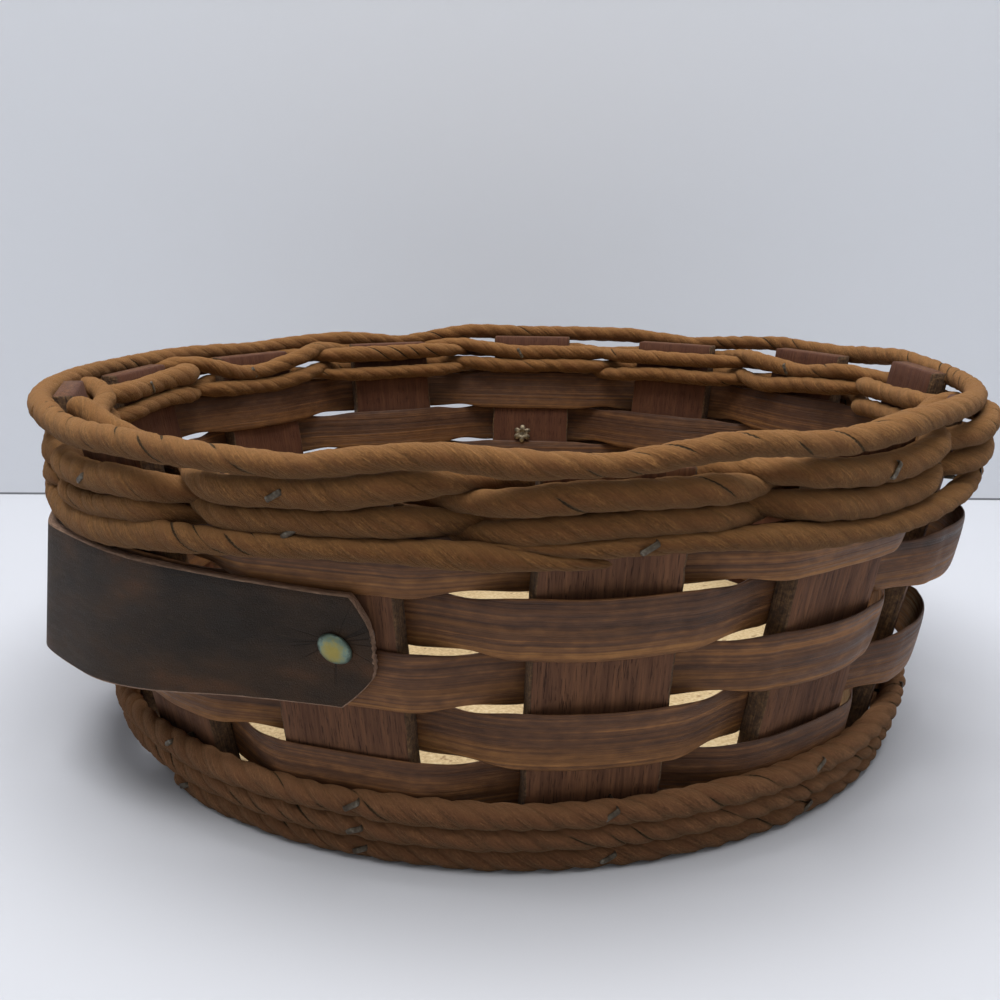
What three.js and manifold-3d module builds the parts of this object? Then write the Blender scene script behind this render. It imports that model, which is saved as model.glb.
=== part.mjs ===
// A round basket that carries a casserole dish: thirteen flat stakes stand on the edge of a round
// board and lean outwards. A flat splint is woven through them in five rows, twisted paper cord is
// woven above it in four rounds, and more cord binds the top edge and the foot. Two leather straps,
// riveted to the stakes, are the handles.
//
// Millimetres, +Z up. The origin is the centre of the board's underside, on the basket's axis.
// The left handle lies on -X. Angles are measured round the axis in stakes: stake number n stands
// at angleAt(n), and n runs on past 13 for what goes round more than once.

import * as THREE from 'three';
import { mergeVertices } from 'three/addons/utils/BufferGeometryUtils.js';
import Module from 'manifold-3d';

const wasm = await Module();
wasm.setup();

// Stakes and board

const STAKE_COUNT = 13;
const STAKE_WIDTH = 32;
const STAKE_THICKNESS = 5.5;
// Distance from the axis to a stake's outer face at the height of the table
const FOOT_RADIUS = 112.8;
// How far the wall leans out for each millimetre of height
const WALL_LEAN = 0.195;
const BOARD_THICKNESS = 10;
// Clearance between pieces that touch on the real basket
const CLEARANCE = 0.3;

// Cord round the foot

const FOOT_CORD_DIAMETER = 5.9;
const FOOT_CORD_TURNS = 3;
// Clearance between neighbouring turns or strands of one winding
const TURN_CLEARANCE = 0.5;

// Woven splint

const SPLINT_WIDTH = 14.9;
const SPLINT_THICKNESS = 1.2;
const SPLINT_ROWS = 5;
// The lowest row is trimmed to this width, above the foot cord
const LAST_ROW_WIDTH = 7.45;
// Where two rows cross between stakes, each edge is bitten in by this much
const EDGE_BITE = 0.63;
// How far a loose pass stands off the middle of its stake, outside and inside
const OUTER_SLACK = 2.2;
const INNER_SLACK = 1.4;
// The top row is pressed flat by the cord that lies on it
const PRESSED_SLACK = 0.6;

// Cord at the rim

const WOVEN_CORD_WIDTH = 5.8;
const WOVEN_CORD_HEIGHT = 5.8;
// Height of the cord where strands cross and squash each other
const SQUASHED_HEIGHT = 3.8;
const WOVEN_ROUNDS = 4;
const TOP_CORD_DIAMETER = 5.5;
// The top cord rises by this much between stakes
const TOP_CORD_HUMP = 1;
// How far the top cord's middle stands above the stake ends
const TOP_CORD_RISE = 0.9;
// Further clearance of the top cord from the stakes, as the strands below push it out
const TOP_CORD_STANDOFF = 1.5;
const LOWER_CORD_DIAMETER = 5.5;

// Straps, given for one end and the middle

const STRAP_THICKNESS = 2.5;
const STRAP_MIDDLE_WIDTH = 33.7;
const STRAP_END_WIDTH = 28.3;
const STRAP_TIP_WIDTH = 12.5;
const STRAP_TIP_CHAMFER = 7;
const STRAP_HEIGHT = 54.7;
// Finger room between the strap's middle and where its ends lie
const STRAP_STANDOFF = 10;
// The strap's middle hangs this far below its ends
const STRAP_DROOP = 3;
// Stakes that one strap spans, and how far its tip passes the rivet
const STRAP_SPAN = 3;
const STRAP_BEYOND_RIVET = 9;
// From the strap's middle, the angles in degrees where it leaves its bow and where it meets the wall
const STRAP_BOW_ANGLE = 10;
const STRAP_WALL_ANGLE = 35;
// The strap bends this many stakes inside its rivets, where its loop and its ends are cut apart
const HINGE_FROM_RIVET = 0.5;
const HINGE_CLEARANCE = 0.5;

// Rivets

const RIVET_HEIGHT = 57.2;
const RIVET_OFFSET = 3.2;
const RIVET_SHANK_RADIUS = 1.3;
const RIVET_HEAD_RADIUS = 3.6;
const RIVET_HEAD_HEIGHT = 1.6;
const RIVET_STAR_RADIUS = 3.8;
const RIVET_STAR_THICKNESS = 0.9;
const RIVET_STAR_POINTS = 6;

// Staples

const STAPLE_CROWN = 4.6;
const STAPLE_WIRE_WIDTH = 0.9;
const STAPLE_WIRE_THICKNESS = 0.6;
const RIM_STAPLE_LEG = 12;
const FOOT_STAPLE_LEG = 17;
const STAPLE_SLOPE = 25;

// Ends of what goes round, counted in stakes

// Rounds stay level, and drop to the next level in this stretch behind the left handle
const DROP_BEFORE_HANDLE = 1.05;
const DROP_LENGTH = 1.5;
// Every winding starts and ends beside a stake, this far past its middle or short of the drop
const SPLINT_TAIL = 0.3;
const STRAND_START_TAIL = 0.1;
const STRAND_END_TAIL = 0.3;
const FOOT_CORD_TAIL = 0.5;
// Clearance in millimetres where the top cord's two ends meet
const END_CLEARANCE = 0.5;
// The lower cord's first end is thinned from below and its last from above, one over the other
const LOWER_CORD_START = 0.7;
const LOWER_CORD_OVERLAP = 0.17;
const THIN_START = { length: 0.4, height: 2 };
const THIN_END = { length: 0.57, height: 1.8 };

// Values that follow from those above

const STAKE_ANGLE = (2 * Math.PI) / STAKE_COUNT;
const STAKE_DEPTH = STAKE_THICKNESS * Math.hypot(1, WALL_LEAN);
const LEAN_ANGLE = Math.atan(WALL_LEAN);
const LEFT_HANDLE = STAKE_COUNT - STRAP_SPAN / 2;
const RIGHT_HANDLE = LEFT_HANDLE - Math.floor(STAKE_COUNT / 2);
const DROP_START = LEFT_HANDLE - DROP_BEFORE_HANDLE;
const STRAP_ENDS = [
  { side: 'left', place: 'front', handle: LEFT_HANDLE, turn: 1 },
  { side: 'left', place: 'rear', handle: LEFT_HANDLE, turn: -1 },
  { side: 'right', place: 'front', handle: RIGHT_HANDLE, turn: -1 },
  { side: 'right', place: 'rear', handle: RIGHT_HANDLE, turn: 1 },
];
const stakeOfEnd = (end) => end.handle + (end.turn * STRAP_SPAN) / 2;

const FOOT_PITCH = FOOT_CORD_DIAMETER + TURN_CLEARANCE;
const FOOT_CORD_BOTTOM = CLEARANCE;
const FOOT_CORD_TOP = FOOT_CORD_BOTTOM + FOOT_CORD_DIAMETER + (FOOT_CORD_TURNS - 1) * FOOT_PITCH;

const CROSSING_WIDTH = SPLINT_WIDTH - 2 * EDGE_BITE;
const ROW_PITCH = CROSSING_WIDTH + TURN_CLEARANCE;
const LAST_ROW_BOTTOM = FOOT_CORD_TOP + CLEARANCE;
const LAST_ROW = LAST_ROW_BOTTOM + LAST_ROW_WIDTH - SPLINT_WIDTH / 2;
const TOP_ROW = LAST_ROW + (SPLINT_ROWS - 1) * ROW_PITCH;

const STRAND_PITCH = WOVEN_CORD_HEIGHT + TURN_CLEARANCE;
const SQUASHED_PITCH = SQUASHED_HEIGHT + TURN_CLEARANCE;
const LOWER_STRAND = TOP_ROW + SPLINT_WIDTH / 2 + CLEARANCE + WOVEN_CORD_HEIGHT / 2;
const UPPER_STRAND = LOWER_STRAND + STRAND_PITCH;
const LAST_CROSSING = TOP_ROW + CROSSING_WIDTH / 2 + TURN_CLEARANCE + SQUASHED_HEIGHT / 2;
const FIRST_CROSSING = LAST_CROSSING + (WOVEN_ROUNDS - 1) * SQUASHED_PITCH;

const TOP_CORD_HEIGHT = UPPER_STRAND + WOVEN_CORD_HEIGHT / 2 + CLEARANCE + TOP_CORD_DIAMETER / 2;
const STAKE_TOP = TOP_CORD_HEIGHT - TOP_CORD_RISE;
const LOWER_CORD_TOP = LOWER_STRAND - WOVEN_CORD_HEIGHT / 2 - CLEARANCE;
const LOWER_CORD_HEIGHT = LOWER_CORD_TOP - LOWER_CORD_DIAMETER / 2;

const SPLINT_OFFSET = CLEARANCE + SPLINT_THICKNESS / 2;
const OVER_SPLINT = 2 * CLEARANCE + SPLINT_THICKNESS;

// Colours as they show in the photograph, in linear values

const CORD_COLOUR = new THREE.Color(0.25, 0.125, 0.055);
const SPLINT_COLOUR = new THREE.Color(0.14, 0.075, 0.042);
const STAKE_COLOUR = new THREE.Color(0.15, 0.075, 0.048);
const BOARD_COLOUR = new THREE.Color(0.68, 0.5, 0.27);
const LEATHER_COLOUR = new THREE.Color(0.045, 0.035, 0.028);
const BRASS_COLOUR = new THREE.Color(0.42, 0.4, 0.2);
const STEEL_COLOUR = new THREE.Color(0.15, 0.14, 0.13);

const surface = (color, roughness, metalness) =>
  new THREE.MeshStandardMaterial({ color, roughness, metalness });
const cordMaterial = surface(CORD_COLOUR, 0.85, 0);
const splintMaterial = surface(SPLINT_COLOUR, 0.55, 0);
const stakeMaterial = surface(STAKE_COLOUR, 0.7, 0);
const boardMaterial = surface(BOARD_COLOUR, 0.8, 0);
const leatherMaterial = surface(LEATHER_COLOUR, 0.6, 0);
const brassMaterial = surface(BRASS_COLOUR, 0.4, 0.8);
const steelMaterial = surface(STEEL_COLOUR, 0.45, 0.9);

// Small helpers

const lerp = THREE.MathUtils.lerp;
const clamp = THREE.MathUtils.clamp;
const radians = THREE.MathUtils.degToRad;
const smooth = (t) => THREE.MathUtils.smoothstep(t, 0, 1);
const angleAt = (n) => Math.PI + (n - LEFT_HANDLE) * STAKE_ANGLE;
const polar = (angle, radius, z) => new THREE.Vector3(radius * Math.cos(angle), radius * Math.sin(angle), z);

// Distance from the axis to the stakes' outer face, and to their middle and inner face
const outerFace = (z) => FOOT_RADIUS + WALL_LEAN * z;
const middleOfStake = (z) => outerFace(z) - STAKE_DEPTH / 2;
const innerFace = (z) => outerFace(z) - STAKE_DEPTH;
const cornerAngle = (z) => Math.atan(STAKE_WIDTH / 2 / outerFace(z));
const cornerStretch = (z) => 1 / Math.cos(cornerAngle(z));

// A closed solid through rings of points, each with as many points as the next
function loft(rings) {
  const sides = rings[0].length;
  const positions = rings.flat().flatMap((p) => [p.x, p.y, p.z]);
  const index = [];
  for (let ring = 0; ring + 1 < rings.length; ring += 1) {
    for (let side = 0; side < sides; side += 1) {
      const a = ring * sides + side;
      const b = ring * sides + ((side + 1) % sides);
      index.push(a, b, b + sides, a, b + sides, a + sides);
    }
  }
  const last = (rings.length - 1) * sides;
  for (let side = 1; side + 1 < sides; side += 1) {
    index.push(0, side + 1, side);
    index.push(last, last + side, last + side + 1);
  }
  const geometry = new THREE.BufferGeometry();
  geometry.setAttribute('position', new THREE.Float32BufferAttribute(positions, 3));
  geometry.setIndex(signedVolume(positions, index) < 0 ? index.reverse() : index);
  return geometry;
}

function signedVolume(positions, index) {
  const point = (i) => new THREE.Vector3().fromArray(positions, 3 * i);
  let volume = 0;
  for (let i = 0; i < index.length; i += 3) {
    volume += point(index[i]).dot(point(index[i + 1]).cross(point(index[i + 2]))) / 6;
  }
  return volume;
}

function toSolid(geometry) {
  const bare = geometry.clone();
  bare.deleteAttribute('normal');
  bare.deleteAttribute('uv');
  const merged = mergeVertices(bare, 1e-4);
  const vertProperties = new Float32Array(merged.attributes.position.array);
  const triVerts = new Uint32Array(merged.index.array);
  return new wasm.Manifold(new wasm.Mesh({ numProp: 3, vertProperties, triVerts }));
}

function toGeometry(solid) {
  const mesh = solid.getMesh();
  const geometry = new THREE.BufferGeometry();
  geometry.setAttribute('position', new THREE.Float32BufferAttribute(mesh.vertProperties, 3));
  geometry.setIndex(Array.from(mesh.triVerts));
  return geometry;
}

// The geometry with each of the tools cut out of it
function cut(geometry, tools) {
  let solid = toSolid(geometry);
  for (const tool of tools) {
    solid = solid.subtract(toSolid(tool));
  }
  return toGeometry(solid);
}

// A mesh in the group, turned to the stake numbered n where one is given
const basket = new THREE.Group();

function addMesh(name, geometry, material, n = LEFT_HANDLE - STAKE_COUNT / 2) {
  const mesh = new THREE.Mesh(geometry, material);
  mesh.name = name;
  mesh.rotation.z = angleAt(n);
  basket.add(mesh);
}

// A geometry made beside the stake on +X, carried round to the stake numbered n
const carriedTo = (n, geometry) => geometry.clone().rotateZ(angleAt(n));

// The least distance between points on the surface of one winding, more than half a stake apart
function printLeastGap(name, rings, stakes) {
  const points = [];
  rings.forEach((ring, i) => {
    ring.forEach((p, side) => {
      points.push({ n: stakes[i], p });
      points.push({ n: stakes[i], p: p.clone().lerp(ring[(side + 1) % ring.length], 0.5) });
      if (i + 1 < rings.length) {
        const halfway = (stakes[i] + stakes[i + 1]) / 2;
        points.push({ n: halfway, p: p.clone().lerp(rings[i + 1][side], 0.5) });
      }
    });
  });
  let least = Infinity;
  let place = '';
  for (let i = 0; i < points.length; i += 1) {
    for (let j = i + 1; j < points.length; j += 1) {
      const gap = points[i].p.distanceTo(points[j].p);
      if (Math.abs(points[i].n - points[j].n) > 2 && gap < least) {
        least = gap;
        place = `${points[i].n.toFixed(2)} and ${points[j].n.toFixed(2)}`;
      }
    }
  }
  console.log(`${name}: least gap to itself ${least.toFixed(2)} mm, between stakes ${place}`);
}

// Weaving: where a strip or strand is after so many stakes

function roundsDone(n) {
  const round = Math.floor(n / STAKE_COUNT);
  return round + smooth(clamp((n - round * STAKE_COUNT - DROP_START) / DROP_LENGTH, 0, 1));
}

// 1 outside an even stake, -1 inside an odd one, and in between on the way across
function sideOfWall(n, edge) {
  const stake = Math.round(n);
  const outside = stake % 2 === 0 ? 1 : -1;
  const past = Math.abs(n - stake);
  return past <= edge ? outside : (outside * (0.5 - past)) / (0.5 - edge);
}

// Steps along a winding: the given places within each stake's pitch, between two stake numbers
function stepsAlong(from, to, places) {
  const steps = [from];
  for (let stake = Math.floor(from); stake <= Math.ceil(to); stake += 1) {
    for (const place of places) {
      const n = stake + place;
      if (n > from + 0.02 && n < to - 0.02) {
        steps.push(n);
      }
    }
  }
  steps.push(to);
  return steps;
}

// The splint lies flat against a stake until just past its corners, and crosses over from there
const SPLINT_EDGE = 0.3;
const FLAT_ANGLE = SPLINT_EDGE * STAKE_ANGLE;

// Six-sided section, with flats above and below
const HEX_SIDES = 6;
const HEX_STRETCH = 1 / Math.sin(Math.PI / 3);

function cordRing(angle, radius, z, width, height) {
  const ring = [];
  for (let side = 0; side < HEX_SIDES; side += 1) {
    const turn = (side / HEX_SIDES) * 2 * Math.PI;
    const out = (width / 2) * Math.cos(turn);
    const up = (height / 2) * HEX_STRETCH * Math.sin(turn);
    ring.push(polar(angle, radius + out, z + up));
  }
  return ring;
}

// Staples: a crown with two legs, pointing at the axis, beside the stake on +X

function stapleBox(depth, width, height, x, y) {
  return new THREE.BoxGeometry(depth, width, height).translate(x, y, 0);
}

function stapleSolid(leg) {
  const thickness = STAPLE_WIRE_THICKNESS;
  const reach = STAPLE_CROWN / 2 - STAPLE_WIRE_WIDTH / 2;
  const crown = stapleBox(thickness, STAPLE_CROWN, STAPLE_WIRE_WIDTH, thickness / 2, 0);
  const length = leg + thickness;
  const legX = thickness - length / 2;
  const left = stapleBox(length, STAPLE_WIRE_WIDTH, STAPLE_WIRE_WIDTH, legX, -reach);
  const right = stapleBox(length, STAPLE_WIRE_WIDTH, STAPLE_WIRE_WIDTH, legX, reach);
  return toGeometry(toSolid(crown).add(toSolid(left)).add(toSolid(right)));
}

// The slit that a staple's legs pass through, with clearance all round
function stapleSlit(leg) {
  const depth = leg + CLEARANCE;
  const margin = 2 * CLEARANCE;
  const width = STAPLE_CROWN + margin;
  const height = STAPLE_WIRE_WIDTH + margin;
  return stapleBox(depth, width, height, -depth / 2, 0);
}

// Turned to its slope and set with its crown at a distance from the axis
const setStaple = (geometry, radius, z) =>
  geometry.clone().rotateX(radians(STAPLE_SLOPE)).translate(radius, 0, z);

// Cord rounds

const footCordRadius = (z) =>
  (outerFace(z) + CLEARANCE + FOOT_CORD_DIAMETER / 2) * cornerStretch(CLEARANCE);
const lowestTurn = FOOT_CORD_BOTTOM + FOOT_CORD_DIAMETER / 2;

function footCordRings() {
  const from = DROP_START + DROP_LENGTH;
  const to = DROP_START + FOOT_CORD_TURNS * STAKE_COUNT - FOOT_CORD_TAIL;
  const steps = stepsAlong(from, to, [0, 1 / 3, 2 / 3]);
  const rings = steps.map((n) => {
    const done = clamp(roundsDone(n) - 1, 0, FOOT_CORD_TURNS - 1);
    const z = lowestTurn + done * FOOT_PITCH;
    return cordRing(angleAt(n), footCordRadius(z), z, FOOT_CORD_DIAMETER, FOOT_CORD_DIAMETER);
  });
  return { rings, steps };
}

// The cord lies beside a stake this far from its middle. It goes out to clear the stake's corners
// and in to the same clearance inside, and is squashed over a short stretch before each crossing.
const CORD_EDGE = 0.27;
const CROSSING_EDGE = 0.47;
const BENDS = [0, CORD_EDGE, 0.4, 0.5, 0.6, 1 - CORD_EDGE];

function wovenCordRadius(n, z) {
  const offset = CLEARANCE + WOVEN_CORD_WIDTH / 2;
  const inside = innerFace(z) - offset;
  const outside = (outerFace(z) + offset) * cornerStretch(z);
  return lerp(inside, outside, (1 + sideOfWall(n, CORD_EDGE)) / 2);
}

// 0 at a stake, 1 where strands cross halfway to the next one
function towardsCrossing(n) {
  const past = Math.abs(n - Math.round(n));
  return clamp((past - CORD_EDGE) / (CROSSING_EDGE - CORD_EDGE), 0, 1);
}

function wovenCordRings() {
  const from = -1 - STRAND_START_TAIL;
  const to = Math.floor(DROP_START) + (WOVEN_ROUNDS - 1) * STAKE_COUNT + STRAND_END_TAIL;
  const steps = stepsAlong(from, to, BENDS);
  const rings = steps.map((n) => {
    const done = roundsDone(n);
    const atStake = lerp(UPPER_STRAND, LOWER_STRAND, clamp(done - 1, 0, 1));
    const atCrossing = FIRST_CROSSING - done * SQUASHED_PITCH;
    const crossing = towardsCrossing(n);
    const z = lerp(atStake, atCrossing, crossing);
    const height = lerp(WOVEN_CORD_HEIGHT, SQUASHED_HEIGHT, crossing);
    return cordRing(angleAt(n), wovenCordRadius(n, z), z, WOVEN_CORD_WIDTH, height);
  });
  return { rings, steps };
}

const topCordRadius =
  (outerFace(STAKE_TOP) + TOP_CORD_STANDOFF + TOP_CORD_DIAMETER / 2) * cornerStretch(STAKE_TOP);

function topCordRings() {
  const seam = END_CLEARANCE / topCordRadius / STAKE_ANGLE;
  const steps = stepsAlong(LEFT_HANDLE - STAKE_COUNT, LEFT_HANDLE - seam, [0, 0.25, 0.5, 0.75]);
  return steps.map((n) => {
    const hump = TOP_CORD_HUMP * Math.sin(Math.PI * n) ** 2;
    const z = TOP_CORD_HEIGHT + hump;
    return cordRing(angleAt(n), topCordRadius, z, TOP_CORD_DIAMETER, TOP_CORD_DIAMETER);
  });
}

const LOWER_CORD_END = LOWER_CORD_START + STAKE_COUNT + LOWER_CORD_OVERLAP;
const lowerCordRadius =
  (outerFace(LOWER_CORD_HEIGHT) + OVER_SPLINT + LOWER_CORD_DIAMETER / 2) / Math.cos(FLAT_ANGLE);

function lowerCordRings() {
  const steps = stepsAlong(LOWER_CORD_START, LOWER_CORD_END, [0, 0.3, 0.5, 0.7]);
  return steps.map((n) => {
    const started = clamp((n - LOWER_CORD_START) / THIN_START.length, 0, 1);
    const left = clamp((LOWER_CORD_END - n) / THIN_END.length, 0, 1);
    const startHeight = lerp(THIN_START.height, LOWER_CORD_DIAMETER, started);
    const endHeight = lerp(THIN_END.height, LOWER_CORD_DIAMETER, left);
    const raised = (LOWER_CORD_DIAMETER - startHeight) / 2;
    const lowered = (LOWER_CORD_DIAMETER - endHeight) / 2;
    const z = LOWER_CORD_HEIGHT + raised - lowered;
    const height = Math.min(startHeight, endHeight);
    return cordRing(angleAt(n), lowerCordRadius, z, LOWER_CORD_DIAMETER, height);
  });
}

// Splint

// How far the splint stands off the middle of a stake: flat under a strap's end and a pressing cord
function slackAt(n, row) {
  const stake = Math.round(n);
  const besideStrap = STRAP_ENDS.some((end) => (stake - stakeOfEnd(end)) % STAKE_COUNT === 0);
  if (besideStrap) {
    return 0;
  }
  if (sideOfWall(stake, SPLINT_EDGE) < 0) {
    return -INNER_SLACK;
  }
  return row < 1 ? PRESSED_SLACK : OUTER_SLACK;
}

function splintRadius(n, z, row) {
  const side = sideOfWall(n, SPLINT_EDGE);
  const past = Math.abs(n - Math.round(n)) * STAKE_ANGLE;
  const square = middleOfStake(z) + side * (STAKE_DEPTH / 2 + SPLINT_OFFSET);
  const bow = Math.max(0, 1 - (past / cornerAngle(z)) ** 2);
  return square / Math.cos(Math.min(past, FLAT_ANGLE)) + bow * slackAt(n, row);
}

function splintRings() {
  const from = -1 - SPLINT_TAIL;
  const to = Math.ceil(DROP_START) + (SPLINT_ROWS - 1) * STAKE_COUNT + SPLINT_TAIL;
  const steps = stepsAlong(from, to, [0, SPLINT_EDGE, 0.5, 1 - SPLINT_EDGE]);
  const rings = steps.map((n) => {
    const row = clamp(roundsDone(n), 0, SPLINT_ROWS - 1);
    const past = Math.abs(n - Math.round(n));
    const crossing = clamp((past - SPLINT_EDGE) / (0.5 - SPLINT_EDGE), 0, 1);
    const width = lerp(SPLINT_WIDTH, CROSSING_WIDTH, crossing);
    const middle = TOP_ROW - row * ROW_PITCH;
    const low = Math.max(middle - width / 2, LAST_ROW_BOTTOM);
    const high = middle + width / 2;
    const half = SPLINT_THICKNESS / 2;
    return [
      polar(angleAt(n), splintRadius(n, low, row) - half, low),
      polar(angleAt(n), splintRadius(n, low, row) + half, low),
      polar(angleAt(n), splintRadius(n, high, row) + half, high),
      polar(angleAt(n), splintRadius(n, high, row) - half, high),
    ];
  });
  return { rings, steps };
}

// Rivets: made along +X with the stake's middle at the origin, then leaned square to the stake

// The head's upright rim, as a share of its height, and the depth of the star's notches
const HEAD_RIM_SHARE = 0.3;
const STAR_NOTCH_SHARE = 0.5;
const HEAD_STEPS = 4;
const HEAD_SIDES = 16;
const SHANK_SIDES = 12;
const FACE = STAKE_THICKNESS / 2;
const SPLINT_BUILD_UP = (CLEARANCE + SPLINT_THICKNESS) * Math.cos(LEAN_ANGLE);
const STRAP_INNER = FACE + OVER_SPLINT * Math.cos(LEAN_ANGLE);
const HEAD_SEAT = STRAP_INNER + STRAP_THICKNESS + CLEARANCE;
const STAR_SEAT = FACE + SPLINT_BUILD_UP + CLEARANCE;

const alongX = (geometry) => geometry.rotateZ(-Math.PI / 2);

function rivetHead() {
  const rim = RIVET_HEAD_HEIGHT * HEAD_RIM_SHARE;
  const profile = [new THREE.Vector2(0, 0), new THREE.Vector2(RIVET_HEAD_RADIUS, 0)];
  for (let i = 0; i <= HEAD_STEPS; i += 1) {
    const turn = (i / HEAD_STEPS) * (Math.PI / 2);
    const y = rim + (RIVET_HEAD_HEIGHT - rim) * Math.sin(turn);
    profile.push(new THREE.Vector2(i === HEAD_STEPS ? 0 : RIVET_HEAD_RADIUS * Math.cos(turn), y));
  }
  return alongX(new THREE.LatheGeometry(profile, HEAD_SIDES)).translate(HEAD_SEAT, 0, 0);
}

// The clinched end: the shank's split petals, bent flat
function rivetStar() {
  const shape = new THREE.Shape();
  for (let i = 0; i < 2 * RIVET_STAR_POINTS; i += 1) {
    const turn = (i / RIVET_STAR_POINTS) * Math.PI;
    const radius = RIVET_STAR_RADIUS * (i % 2 === 0 ? 1 : STAR_NOTCH_SHARE);
    const method = i === 0 ? 'moveTo' : 'lineTo';
    shape[method](radius * Math.cos(turn), radius * Math.sin(turn));
  }
  shape.closePath();
  const star = new THREE.ExtrudeGeometry(shape, { depth: RIVET_STAR_THICKNESS, bevelEnabled: false });
  return star.rotateY(Math.PI / 2).translate(-STAR_SEAT - RIVET_STAR_THICKNESS, 0, 0);
}

function shankBetween(from, to, radius) {
  const shank = new THREE.CylinderGeometry(radius, radius, to - from, SHANK_SIDES);
  return alongX(shank).translate((from + to) / 2, 0, 0);
}

// Leaned square to the stake's face, at the rivet's place beside the stake on +X
function setRivet(geometry, offset) {
  return geometry.clone().rotateY(LEAN_ANGLE).translate(middleOfStake(RIVET_HEIGHT), offset, RIVET_HEIGHT);
}

function rivetSolid() {
  const from = -STAR_SEAT - RIVET_STAR_THICKNESS / 2;
  const to = HEAD_SEAT + RIVET_HEAD_HEIGHT / 2;
  const shank = shankBetween(from, to, RIVET_SHANK_RADIUS);
  return toGeometry(toSolid(rivetHead()).add(toSolid(shank)).add(toSolid(rivetStar())));
}

function rivetHole() {
  return shankBetween(-STAR_SEAT, HEAD_SEAT, RIVET_SHANK_RADIUS + CLEARANCE);
}

// Beside the stake on +X, the hole of the rivet at an end of a strap
const holeBeside = (end) => setRivet(rivetHole(), end.turn * RIVET_OFFSET);
const rivetHoles = STRAP_ENDS.map((end) => carriedTo(stakeOfEnd(end), holeBeside(end)));

// Staples: one in the rim and one in the foot of each stake

const topStrandOuter = wovenCordRadius(0, UPPER_STRAND) + WOVEN_CORD_WIDTH / 2;
const lowerCordOuter = lowerCordRadius + LOWER_CORD_DIAMETER / 2;
const footCordOuter = footCordRadius(lowestTurn) + FOOT_CORD_DIAMETER / 2;

function stapleSeats(k) {
  const strand = { radius: topStrandOuter, z: UPPER_STRAND, leg: RIM_STAPLE_LEG };
  const lower = { radius: lowerCordOuter, z: LOWER_CORD_HEIGHT, leg: RIM_STAPLE_LEG };
  return {
    rim: k % 2 === 0 ? strand : lower,
    foot: { radius: footCordOuter, z: lowestTurn, leg: FOOT_STAPLE_LEG },
  };
}

const slitAt = (seat) => setStaple(stapleSlit(seat.leg), seat.radius + CLEARANCE, seat.z);
const stapleAt = (seat) => setStaple(stapleSolid(seat.leg), seat.radius + CLEARANCE, seat.z);

const stakes = Array.from({ length: STAKE_COUNT }, (_, k) => k);
const footSlits = stakes.map((k) => carriedTo(k, slitAt(stapleSeats(k).foot)));
const rimSlits = stakes.map((k) => carriedTo(k, slitAt(stapleSeats(k).rim)));

// Board: a disc whose edge leans with the stakes

function boardGeometry() {
  const edge = (z) => innerFace(z) - CLEARANCE;
  const profile = [
    new THREE.Vector2(0, 0),
    new THREE.Vector2(edge(0), 0),
    new THREE.Vector2(edge(BOARD_THICKNESS), BOARD_THICKNESS),
    new THREE.Vector2(0, BOARD_THICKNESS),
  ];
  return new THREE.LatheGeometry(profile, 4 * STAKE_COUNT).rotateX(Math.PI / 2);
}

// Stakes, beside +X

function stakeGeometry(k) {
  const half = STAKE_WIDTH / 2;
  const section = (z) => [
    new THREE.Vector3(innerFace(z), -half, z),
    new THREE.Vector3(outerFace(z), -half, z),
    new THREE.Vector3(outerFace(z), half, z),
    new THREE.Vector3(innerFace(z), half, z),
  ];
  const seats = stapleSeats(k);
  const riveted = STRAP_ENDS.filter((end) => (stakeOfEnd(end) - k) % STAKE_COUNT === 0);
  const tools = [slitAt(seats.rim), slitAt(seats.foot), ...riveted.map(holeBeside)];
  return cut(loft([section(CLEARANCE), section(STAKE_TOP)]), tools);
}

// Straps, made round the middle angle at +X

const RIVET_ANGLE = (STRAP_SPAN / 2) * STAKE_ANGLE;
const strapFace = outerFace(STRAP_HEIGHT) + OVER_SPLINT;
const STRAP_TIP_ANGLE = RIVET_ANGLE + (RIVET_OFFSET + STRAP_BEYOND_RIVET) / strapFace;

// 0 where the strap lies on the wall, 1 where it stands off it
function strapBow(angle) {
  const degrees = THREE.MathUtils.radToDeg(Math.abs(angle));
  return smooth(clamp((STRAP_WALL_ANGLE - degrees) / (STRAP_WALL_ANGLE - STRAP_BOW_ANGLE), 0, 1));
}

function strapWidth(angle) {
  const across = Math.min(Math.abs(angle) / RIVET_ANGLE, 1);
  const width = lerp(STRAP_END_WIDTH, STRAP_MIDDLE_WIDTH, Math.cos((across * Math.PI) / 2));
  const fromTip = (STRAP_TIP_ANGLE - Math.abs(angle)) * strapFace;
  return lerp(STRAP_TIP_WIDTH, width, clamp(fromTip / STRAP_TIP_CHAMFER, 0, 1));
}

function strapRing(angle) {
  const fromStake = Math.min(Math.abs(Math.abs(angle) - RIVET_ANGLE), FLAT_ANGLE);
  const bow = strapBow(angle);
  const inner = strapFace / Math.cos(fromStake) + STRAP_STANDOFF * bow;
  const half = strapWidth(angle) / 2;
  const lean = WALL_LEAN * (1 - bow);
  const middle = STRAP_HEIGHT - STRAP_DROOP * bow;
  const point = (out, up) => polar(angle, inner + out + lean * up, middle + up);
  return [point(0, -half), point(STRAP_THICKNESS, -half), point(STRAP_THICKNESS, half), point(0, half)];
}

// How far across from the strap's middle its loop ends, at the middle of its section there
const hingeRing = strapRing((STRAP_SPAN / 2 - HINGE_FROM_RIVET) * STAKE_ANGLE);
const hinge = hingeRing[0].clone().lerp(hingeRing[2], 0.5);
const LOOP_REACH = hinge.y - HINGE_CLEARANCE / 2;
const END_REACH = hinge.y + HINGE_CLEARANCE / 2;
const STRAP_STEPS = 44;

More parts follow.
